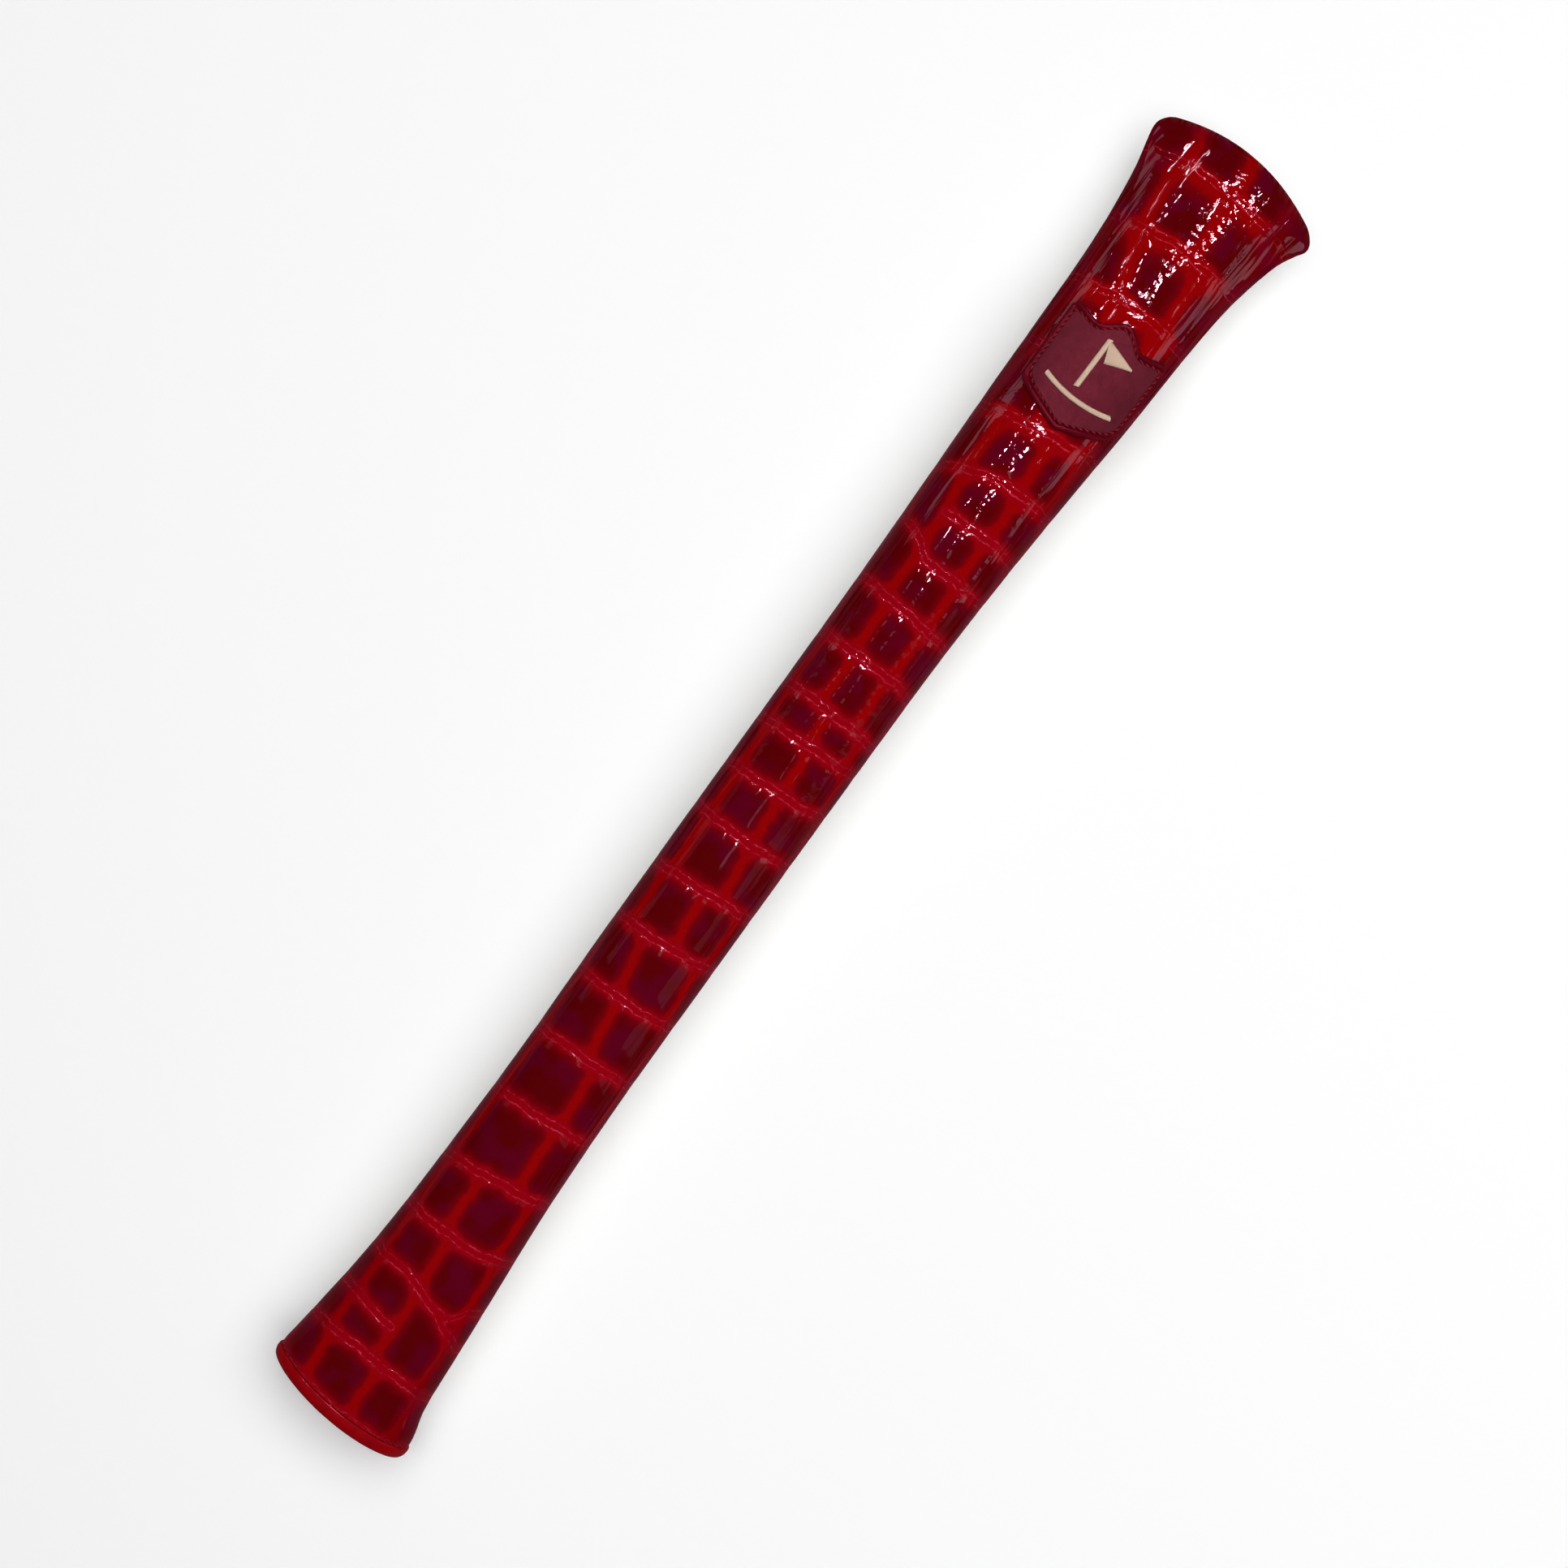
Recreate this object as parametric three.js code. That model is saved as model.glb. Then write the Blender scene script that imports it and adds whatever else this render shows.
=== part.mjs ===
// Golf alignment-stick cover: a slim lined sleeve of crocodile-embossed patent leather, closed and
// pressed flat at the crown, open at the flared mouth, with an embroidered shield patch near the crown.
// Millimetres. The cover lies on its back. +X runs from the mouth to the crown, +Z is up out of its
// front, and the origin is under the middle of the cover's box, on the surface that it lies on.
import * as THREE from "three";
import { LoftGeometry } from "three/addons/geometries/LoftGeometry.js";

// ---- Driving dimensions ----
const LENGTH = 356;
const BOX_MIDDLE_Y = 2.41; // from the line that the sides are measured from to the box's middle

// Sides and faces, as [station from the mouth, distance] pairs.
const LEFT_SIDE = curve([
  [0, 16.9], [8, 16.9], [18, 15.8], [30, 14.6], [45, 13.6], [70, 13.0], [90, 12.8], [125, 13.3],
  [180, 13.7], [217, 13.9], [241, 14.3], [277, 15.1], [314, 15.7], [327, 16.5], [340, 18.0],
  [347, 19.4], [353, 20.2], [LENGTH, 18.9],
]);
const RIGHT_SIDE = curve([
  [0, 18.6], [6, 19.2], [12.5, 18.0], [30, 16.2], [45, 15.0], [60, 13.8], [72, 13.1], [96, 12.3],
  [125, 12.1], [180, 11.9], [217, 12.0], [241, 12.7], [265, 14.0], [289, 15.6], [314, 16.8],
  [327, 18.1], [341, 20.8], [349, 23.4], [354, 24.8], [LENGTH, 23.8],
]);
const FRONT_HEIGHT = curve([
  [0, 20.0], [20, 21.5], [50, 22.5], [100, 23.5], [240, 23.5], [277, 22.8], [300, 21.2],
  [314, 19.8], [330, 17.4], [343, 14.2], [350, 11.8], [354, 9.4], [LENGTH, 7.6],
]);
const BACK_HEIGHT = curve([
  [0, 1.1], [5, 1.1], [14, 0], [295, 0], [310, 0.9], [330, 2.9], [343, 4.6], [350, 5.6],
  [354, 6.0], [LENGTH, 6.3],
]);
const SECTION_POWER = 2.3; // 2 is an ellipse, more is squarer
const PRESSED = 1.0; // how much of the round back is pressed flat on the surface

// The ends bow along the cover: the crown's edge and the mouth's lip are shallow arcs.
const CROWN_BOW = { curvature: 0.0115, middle: 0.8, start: 262, power: 2.6 };
const MOUTH_BOW = { curvature: 0.0055, middle: -8.5, end: 60, power: 2 };

// Layers, from the leather's face inwards.
const GAP = 0.3;
const LEATHER = 1.1;
const INTERLINING = 0.9;
const LINING = 0.7;
const INTERLINING_FACE = LEATHER + GAP;
const LINING_FACE = INTERLINING_FACE + INTERLINING + GAP;
const HEM_LINING_FACE = LEATHER + GAP;
const LEATHER_SPAN = [1.2, LENGTH];
const LEATHER_INNER_END = 351.5;
const INTERLINING_SPAN = [14, 347];
const LINING_SPAN = [1.2, 343];
const SOLID_END = 0.7; // how far a layer's inner wall stops short of its outer one, at the crown
const LINING_RISE = [6, 13]; // stations where the lining steps out to the leather for the hem

// Mouth hem
const HEM_DEPTH = 3.2;
const HEM_LEATHER = 0.7;
const HEM_ROUND = 0.6;
const HEM_THREAD_STATION = 3.9;

// Threads
const THREAD_RADIUS = 0.25;
const THREAD_GAP = 0.15;
const BACK_NOTCH = { halfAngle: 2.7, depth: 0.75, fade: 20 };
const BACK_THREAD_SPAN = [16, 290];
const BACK_THREAD_HEIGHT = 0.25;
const BACK_THREAD_RADIUS = 0.14;
const CROWN_THREAD = { station: 349.3, height: 8.6, left: 14, right: 18 };

// Shield patch, in distances round the leather from its top line, positive to the right.
const PATCH_MIDDLE = 1.8;
const PATCH_WIDTH = 26.6;
const PATCH_PEAK = 305.6;
const PATCH_SCALLOP = 3.4;
const PATCH_SCALLOP_PITCH = 11.9;
const PATCH_EAR = 0.45; // how far the outline climbs again past a scallop, as a share of its depth
const PATCH_POINT = 276.3;
const PATCH_POINT_RISE = 5.6;
const PATCH_POINT_CURVE = 1.2;
const PATCH_CORNER = 2.4;
const PATCH_GAP = 0.2;
const PATCH_BACKING = 0.8;
const PATCH_FACE = 0.5;
const FACE_INSET = 1.7;
const STITCH_INSET = 2.4;

// Embroidered pin flag
const EMBROIDERY_TOP = 300;
const EMBROIDERY_FOOT = 287;
const POLE_SIDE = -1.6;
const POLE_RADIUS = 0.5;
const PENNANT = { width: 6.4, height: 5.2, thickness: 0.5 };
const GREEN = { halfWidth: 8.2, middle: 0, sag: 1.6, station: 284.3 };

// Mesh fineness
const STATION_STEPS = 28;
const RING_POINTS = 24;
const THREAD_SIDES = 4;
const PATCH_COLUMNS = 22;
const PATCH_ROWS = 4;

const COLOURS = {
  leather: 0x7d0718,
  hem: 0xa50a1e,
  interlining: 0xd8d2c4,
  lining: 0x2a1216,
  redThread: 0xb0081c,
  patch: 0x641a2c,
  rim: 0x8c0620,
  creamThread: 0xe8cdb0,
};

// ---- Curves and places ----

// A smooth function through [station, value] pairs, level at its peaks, hollows and flats.
function curve(points) {
  const last = points.length - 1;
  const slopeAt = (i) => {
    const [x0, y0] = points[Math.max(i - 1, 0)];
    const [x1, y1] = points[Math.min(i + 1, last)];
    const turns = i > 0 && i < last && (points[i][1] - y0) * (y1 - points[i][1]) <= 0;
    return turns ? 0 : (y1 - y0) / (x1 - x0);
  };
  return (station) => {
    const s = THREE.MathUtils.clamp(station, points[0][0], points[last][0]);
    const next = Math.max(1, points.findIndex(([x]) => x >= s));
    const [x0, y0] = points[next - 1];
    const [x1, y1] = points[next];
    const span = x1 - x0;
    const u = (s - x0) / span;
    const rise = y1 - y0;
    const bend0 = slopeAt(next - 1) * span - rise;
    const bend1 = rise - slopeAt(next) * span;
    return y0 + u * rise + u * (1 - u) * ((1 - u) * bend0 + u * bend1);
  };
}

function signedPower(value, power) {
  return Math.sign(value) * Math.abs(value) ** power;
}

function bow(station, y) {
  const towardsCrown = Math.max(0, station - CROWN_BOW.start) / (LENGTH - CROWN_BOW.start);
  const towardsMouth = Math.max(0, MOUTH_BOW.end - station) / MOUTH_BOW.end;
  const crown = CROWN_BOW.curvature * towardsCrown ** CROWN_BOW.power * (y - CROWN_BOW.middle) ** 2;
  const mouth = MOUTH_BOW.curvature * towardsMouth ** MOUTH_BOW.power * (y - MOUTH_BOW.middle) ** 2;
  return mouth - crown;
}

// The point at a station, at an angle round the section (90 degrees is the front, 0 the left side)
// and at a depth under the leather's face.
function place(station, degrees, depth) {
  const angle = THREE.MathUtils.degToRad(degrees);
  const left = LEFT_SIDE(station);
  const right = RIGHT_SIDE(station);
  const front = FRONT_HEIGHT(station);
  const back = BACK_HEIGHT(station);
  const pressed = Math.min(PRESSED, (front - back) / RING_POINTS);
  const halfWidth = (left + right) / 2 - depth;
  const halfHeight = (front - back + pressed) / 2 - depth;
  const middleY = (left - right) / 2;
  const middleZ = (front + back - pressed) / 2;
  const y = middleY + halfWidth * signedPower(Math.cos(angle), 2 / SECTION_POWER);
  const z = middleZ + halfHeight * signedPower(Math.sin(angle), 2 / SECTION_POWER);
  const x = station - LENGTH / 2 + bow(station, y);
  return new THREE.Vector3(x, y + BOX_MIDDLE_Y, Math.max(z, back + depth));
}

// The angle at a distance round the leather's face from its top line, positive to the right.
function angleAt(station, distance) {
  const step = Math.sign(distance);
  let degrees = 90;
  let travelled = 0;
  let from = place(station, degrees, 0);
  while (travelled < Math.abs(distance)) {
    degrees += step;
    const to = place(station, degrees, 0);
    travelled += to.distanceTo(from);
    from = to;
  }
  return degrees;
}

function placeRound(station, distance, depth) {
  return place(station, angleAt(station, distance), depth);
}

// Stations that all the layers share, closest together at the ends, so that their walls stay parallel.
const layerEnds = [LEATHER_INNER_END, ...[INTERLINING_SPAN, LINING_SPAN].flatMap((span) => {
  return [...span, span[1] - SOLID_END];
})];
const evenStations = Array.from({ length: STATION_STEPS + 1 }, (_, i) => {
  return (LENGTH / 2) * (1 - Math.cos((Math.PI * i) / STATION_STEPS));
}).filter((s) => layerEnds.every((end) => Math.abs(s - end) > 1));
const stations = [...new Set([...layerEnds, ...evenStations])].sort((a, b) => a - b);

function stationsIn([start, end]) {
  return [start, ...stations.filter((s) => s > start + GAP && s < end - GAP), end];
}

// Angles round a section. Each has its mirror image below it, counted from the list's other end.
const ringAngles = Array.from({ length: RING_POINTS }, (_, i) => ((i + 0.5) * 360) / RING_POINTS);
const seamAngles = [-BACK_NOTCH.halfAngle, 0, BACK_NOTCH.halfAngle].flatMap((a) => [90 + a, 270 + a]);
const leatherAngles = [...ringAngles, ...seamAngles].sort((a, b) => a - b);

function ring(station, depth) {
  return ringAngles.map((degrees) => place(station, degrees, depth));
}

// ---- Geometry of each kind of piece ----

// A loft whose two ends are each pinched to the line halfway between mirrored points.
function pinchedLoft(sections) {
  const pinch = (section) => {
    const mirrored = [...section].reverse();
    return section.map((point, i) => point.clone().lerp(mirrored[i], 0.5));
  };
  return new LoftGeometry([pinch(sections[0]), ...sections, pinch(sections.at(-1))]);
}

function closedTubeWall(span, innerEnd, outerDepth, innerDepth, outerRing, innerRing) {
  const outer = stationsIn(span).map((s) => outerRing(s, outerDepth(s)));
  const inner = stationsIn([span[0], innerEnd]).map((s) => innerRing(s, innerDepth(s)));
  return pinchedLoft([...inner.reverse(), ...outer]);
}

function leatherInnerRing(station, depth) {
  return leatherAngles.map((degrees) => place(station, degrees, depth));
}

// The leather's face has the seam's shallow notch along the middle of the back.
function leatherFaceRing(station, depth) {
  const fade = Math.min(1, (LEATHER_INNER_END - station) / BACK_NOTCH.fade);
  return leatherAngles.map((degrees) => {
    const point = place(station, degrees, depth);
    if (degrees === 270) point.z += BACK_NOTCH.depth * Math.max(0, fade);
    return point;
  });
}

function leatherGeometry() {
  const depths = [() => 0, () => LEATHER];
  return closedTubeWall(LEATHER_SPAN, LEATHER_INNER_END, ...depths, leatherFaceRing, leatherInnerRing);
}

function interliningGeometry() {
  const innerEnd = INTERLINING_SPAN[1] - SOLID_END;
  const inside = INTERLINING_FACE + INTERLINING;
  const depths = [() => INTERLINING_FACE, () => inside];
  return closedTubeWall(INTERLINING_SPAN, innerEnd, ...depths, ring, ring);
}

function liningGeometry() {
  const innerEnd = LINING_SPAN[1] - SOLID_END;
  const face = (station) => {
    const rise = THREE.MathUtils.smoothstep(station, ...LINING_RISE);
    return THREE.MathUtils.lerp(HEM_LINING_FACE, LINING_FACE, rise);
  };
  return closedTubeWall(LINING_SPAN, innerEnd, face, (s) => face(s) + LINING, ring, ring);
}

// A folded strip round the lip: its section is a channel that the leather and the lining sit in.
function hemGeometry() {
  const inner = HEM_LINING_FACE + LINING + GAP;
  const channel = [
    [HEM_DEPTH, -GAP],
    [HEM_DEPTH, -GAP - HEM_LEATHER],
    [HEM_ROUND, -GAP - HEM_LEATHER],
    [0, HEM_ROUND - GAP - HEM_LEATHER],
    [0, inner + HEM_LEATHER - HEM_ROUND],
    [HEM_ROUND, inner + HEM_LEATHER],
    [HEM_DEPTH, inner + HEM_LEATHER],
    [HEM_DEPTH, inner],
    [LEATHER_SPAN[0] - GAP, inner],
    [LEATHER_SPAN[0] - GAP, -GAP],
  ];
  const angles = [...ringAngles, ringAngles[0]];
  const sections = angles.map((degrees) => channel.map(([s, d]) => place(s, degrees, d)));
  return new LoftGeometry(sections);
}

function closedThread(points) {
  const path = new THREE.CatmullRomCurve3(points, true);
  return new THREE.TubeGeometry(path, points.length * 2, THREAD_RADIUS, THREAD_SIDES, true);
}

function openThread(points, radius) {
  const path = new THREE.CatmullRomCurve3(points);
  const section = new THREE.Shape().absarc(0, 0, radius, 0, 2 * Math.PI);
  return new THREE.ExtrudeGeometry(section, {
    steps: points.length + 2,
    extrudePath: path,
    curveSegments: THREAD_SIDES,
  });
}

function hemThreadGeometry() {
  const depth = -GAP - THREAD_RADIUS;
  return closedThread(ringAngles.map((degrees) => place(HEM_THREAD_STATION, degrees, depth)));
}

function backThreadGeometry() {
  const points = stationsIn(BACK_THREAD_SPAN).map((station) => {
    const root = place(station, 270, 0);
    return root.setZ(BACK_THREAD_HEIGHT);
  });
  return openThread(points, BACK_THREAD_RADIUS);
}

function crownThreadGeometry() {
  const { station, height, left, right } = CROWN_THREAD;
  const count = 12;
  const points = Array.from({ length: count + 1 }, (_, i) => {
    const y = THREE.MathUtils.lerp(left, -right, i / count);
    const x = station - LENGTH / 2 + bow(station, y);
    return new THREE.Vector3(x, y + BOX_MIDDLE_Y, height);
  });
  return openThread(points, THREAD_RADIUS);
}

// The patch's outline: its top and bottom edges as stations, at a distance from its middle.
function patchEdges(offset, inset) {
  const half = PATCH_WIDTH / 2 - inset;
  const side = Math.abs(offset);
  const swing = (1 - Math.cos((2 * Math.PI * side) / PATCH_SCALLOP_PITCH)) / 2;
  const wave = side < PATCH_SCALLOP_PITCH / 2 ? swing : 1 - PATCH_EAR * (1 - swing);
  const past = Math.max(0, side - (half - PATCH_CORNER));
  const corner = PATCH_CORNER - Math.sqrt(PATCH_CORNER ** 2 - Math.min(past, PATCH_CORNER) ** 2);
  const point = PATCH_POINT + PATCH_POINT_RISE * (side / half) ** PATCH_POINT_CURVE;
  return {
    top: PATCH_PEAK - PATCH_SCALLOP * wave - inset - corner / 2,
    bottom: point + inset + corner,
  };
}

// A thin sheet that follows the leather: for each distance across it has one run of stations.
function sheetGeometry(offsets, edgesAt, middle, lower, upper) {
  const sections = offsets.map((offset) => {
    const { bottom, top } = edgesAt(offset);
    const runs = Array.from({ length: PATCH_ROWS + 1 }, (_, i) => {
      return THREE.MathUtils.lerp(bottom, top, i / PATCH_ROWS);
    });
    const inside = runs.map((s) => placeRound(s, middle + offset, -lower));
    const outside = runs.map((s) => placeRound(s, middle + offset, -upper));
    return [...inside, ...outside.reverse()];
  });
  return pinchedLoft(sections);
}

function spread(half, count) {
  return Array.from({ length: count + 1 }, (_, i) => -half * Math.cos((Math.PI * i) / count));
}

function patchSheet(inset, lower, upper) {
  const offsets = spread(PATCH_WIDTH / 2 - inset, PATCH_COLUMNS);
  return sheetGeometry(offsets, (o) => patchEdges(o, inset), PATCH_MIDDLE, lower, upper);
}

const BACKING_TOP = PATCH_GAP + PATCH_BACKING;
const FACE_BOTTOM = BACKING_TOP + PATCH_GAP;
const FACE_TOP = FACE_BOTTOM + PATCH_FACE;
const EMBROIDERY_BOTTOM = FACE_TOP + THREAD_GAP;

function patchThreadGeometry() {
  const offsets = spread(PATCH_WIDTH / 2 - STITCH_INSET, PATCH_COLUMNS);
  const height = FACE_TOP + THREAD_GAP + THREAD_RADIUS;
  const pointAt = (offset, edge) => {
    return placeRound(patchEdges(offset, STITCH_INSET)[edge], PATCH_MIDDLE + offset, -height);
  };
  const top = offsets.map((offset) => pointAt(offset, "top"));
  const bottom = offsets.map((offset) => pointAt(offset, "bottom")).reverse();
  return closedThread([...top, ...bottom]);
}

function poleGeometry() {
  const height = EMBROIDERY_BOTTOM + POLE_RADIUS;
  const count = 4;
  const points = Array.from({ length: count + 1 }, (_, i) => {
    const station = THREE.MathUtils.lerp(EMBROIDERY_FOOT, EMBROIDERY_TOP, i / count);
    return placeRound(station, PATCH_MIDDLE + POLE_SIDE, -height);
  });
  return openThread(points, POLE_RADIUS);
}

function pennantGeometry() {
  const { width, height, thickness } = PENNANT;
  const start = POLE_SIDE + POLE_RADIUS + GAP;
  const count = 5;
  const tip = THREAD_RADIUS / width;
  const offsets = Array.from({ length: count + 1 }, (_, i) => start + (width * i) / count);
  const edgesAt = (offset) => {
    const along = (offset - start) / width;
    const middle = EMBROIDERY_TOP - height / 2;
    const half = (height / 2) * Math.max(1 - along, tip);
    return { bottom: middle - half, top: middle + half };
  };
  const upper = EMBROIDERY_BOTTOM + thickness;
  return sheetGeometry(offsets, edgesAt, PATCH_MIDDLE, EMBROIDERY_BOTTOM, upper);
}

function greenGeometry() {
  const { halfWidth, middle, sag, station } = GREEN;
  const height = EMBROIDERY_BOTTOM + POLE_RADIUS;
  const count = 8;
  const points = Array.from({ length: count + 1 }, (_, i) => {
    const across = (2 * i) / count - 1;
    const s = station + sag * across ** 2;
    return placeRound(s, PATCH_MIDDLE + middle + halfWidth * across, -height);
  });
  return openThread(points, POLE_RADIUS);
}

// ---- The assembly ----

function piece(name, geometry, color, roughness) {
  const material = new THREE.MeshStandardMaterial({ color, roughness, metalness: 0 });
  const mesh = new THREE.Mesh(geometry, material);
  mesh.name = name;
  return mesh;
}

const sleeve = new THREE.Group();
sleeve.add(
  piece("leather_sleeve", leatherGeometry(), COLOURS.leather, 0.15),
  piece("back_seam_thread", backThreadGeometry(), COLOURS.redThread, 0.7),
  piece("crown_seam_thread", crownThreadGeometry(), COLOURS.redThread, 0.7),
  piece("interlining", interliningGeometry(), COLOURS.interlining, 0.95),
  piece("lining_sleeve", liningGeometry(), COLOURS.lining, 0.9),
);

const hem = new THREE.Group();
hem.add(
  piece("mouth_binding", hemGeometry(), COLOURS.hem, 0.25),
  piece("mouth_stitching", hemThreadGeometry(), COLOURS.redThread, 0.7),
);

const patch = new THREE.Group();
patch.add(
  piece("patch_backing", patchSheet(0, PATCH_GAP, BACKING_TOP), COLOURS.rim, 0.5),
  piece("patch_face", patchSheet(FACE_INSET, FACE_BOTTOM, FACE_TOP), COLOURS.patch, 0.8),
  piece("patch_stitching", patchThreadGeometry(), COLOURS.redThread, 0.7),
  piece("embroidery_pole", poleGeometry(), COLOURS.creamThread, 0.6),
  piece("embroidery_pennant", pennantGeometry(), COLOURS.creamThread, 0.6),
  piece("embroidery_green", greenGeometry(), COLOURS.creamThread, 0.6),
);

const cover = new THREE.Group();
cover.add(sleeve, hem, patch);

export default cover;
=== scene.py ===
"""A golf alignment-stick cover in crocodile-embossed patent leather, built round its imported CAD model.

Shapes are worked out in millimetres, in the CAD's own measures: a station is the distance from the
mouth along the cover, and a side is the distance round the leather from its top line, positive to
the right. make_piece turns them into metres.
"""

import math

import bpy
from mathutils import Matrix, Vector
import numpy as np


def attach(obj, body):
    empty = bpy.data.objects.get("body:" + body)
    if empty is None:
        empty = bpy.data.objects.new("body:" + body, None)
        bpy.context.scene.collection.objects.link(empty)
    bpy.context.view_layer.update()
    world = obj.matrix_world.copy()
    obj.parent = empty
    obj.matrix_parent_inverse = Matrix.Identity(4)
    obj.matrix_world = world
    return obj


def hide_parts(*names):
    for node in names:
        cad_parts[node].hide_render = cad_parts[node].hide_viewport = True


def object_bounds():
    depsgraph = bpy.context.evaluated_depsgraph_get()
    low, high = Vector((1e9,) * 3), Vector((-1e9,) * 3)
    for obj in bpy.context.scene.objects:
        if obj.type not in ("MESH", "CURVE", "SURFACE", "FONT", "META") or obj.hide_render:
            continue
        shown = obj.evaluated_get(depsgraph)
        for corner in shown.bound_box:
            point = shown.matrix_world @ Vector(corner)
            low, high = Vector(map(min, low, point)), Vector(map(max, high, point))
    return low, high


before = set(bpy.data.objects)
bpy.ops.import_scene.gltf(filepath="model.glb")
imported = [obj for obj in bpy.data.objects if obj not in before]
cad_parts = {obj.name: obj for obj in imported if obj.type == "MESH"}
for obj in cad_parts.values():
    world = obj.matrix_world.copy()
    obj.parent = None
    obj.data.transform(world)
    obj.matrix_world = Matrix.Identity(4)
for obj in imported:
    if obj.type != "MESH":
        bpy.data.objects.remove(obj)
cad_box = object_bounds()

MM = 0.001
LENGTH = 356.0
BOX_MIDDLE_Y = 2.41

# ---- The cover's form, as in the CAD ----

LEFT_SIDE = (
    (0, 17.1), (4, 17.3), (8, 16.9), (18, 15.8), (30, 14.6), (45, 13.6), (70, 13.0), (90, 12.8),
    (125, 13.3), (180, 13.7), (217, 13.9), (241, 14.3), (277, 15.1), (314, 15.7), (327, 16.5),
    (340, 18.0), (347, 19.4), (352.5, 20.2), (354, 19.9), (355, 19.2), (355.6, 18.5), (LENGTH, 17.4),
)
RIGHT_SIDE = (
    (0, 19.0), (3, 19.5), (6, 19.2), (12.5, 17.6), (30, 16.2), (45, 15.0), (60, 13.8), (72, 13.1),
    (96, 12.3), (125, 12.1), (180, 11.9), (217, 12.0), (241, 12.7), (265, 14.0), (289, 15.6),
    (314, 16.8), (327, 18.1), (341, 20.8), (348, 23.2), (352.5, 24.7), (354, 24.4), (355, 23.6),
    (355.6, 22.8), (LENGTH, 21.6),
)
FRONT_HEIGHT = (
    (0, 20.0), (20, 21.5), (50, 22.5), (100, 23.5), (240, 23.5), (277, 22.8), (300, 21.2),
    (314, 19.8), (330, 17.4), (343, 14.2), (350, 11.8), (354, 9.4), (LENGTH, 7.6),
)
BACK_HEIGHT = (
    (0, 1.1), (5, 1.1), (14, 0), (295, 0), (310, 0.9), (330, 2.9), (343, 4.6), (350, 5.6),
    (354, 6.0), (LENGTH, 6.3),
)
SECTION_POWER = 2.3
PRESSED = 1.0  # flattening underneath, at most the height divided by PRESSED_SHARE
PRESSED_SHARE = 24
CROWN_BOW = {"curvature": 0.0115, "middle": 0.8, "start": 262, "power": 2.6}
MOUTH_BOW = {"curvature": 0.0055, "middle": -8.5, "end": 60, "power": 2}
SECTION_ANGLES = 241  # sampled on each half of a section, to measure the way round it
TOP_LINE = 90  # degrees round the section
BACK_LINE = 270
EDGE_TURN = 90  # from the top line to the outline

# ---- The scales ----

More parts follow.
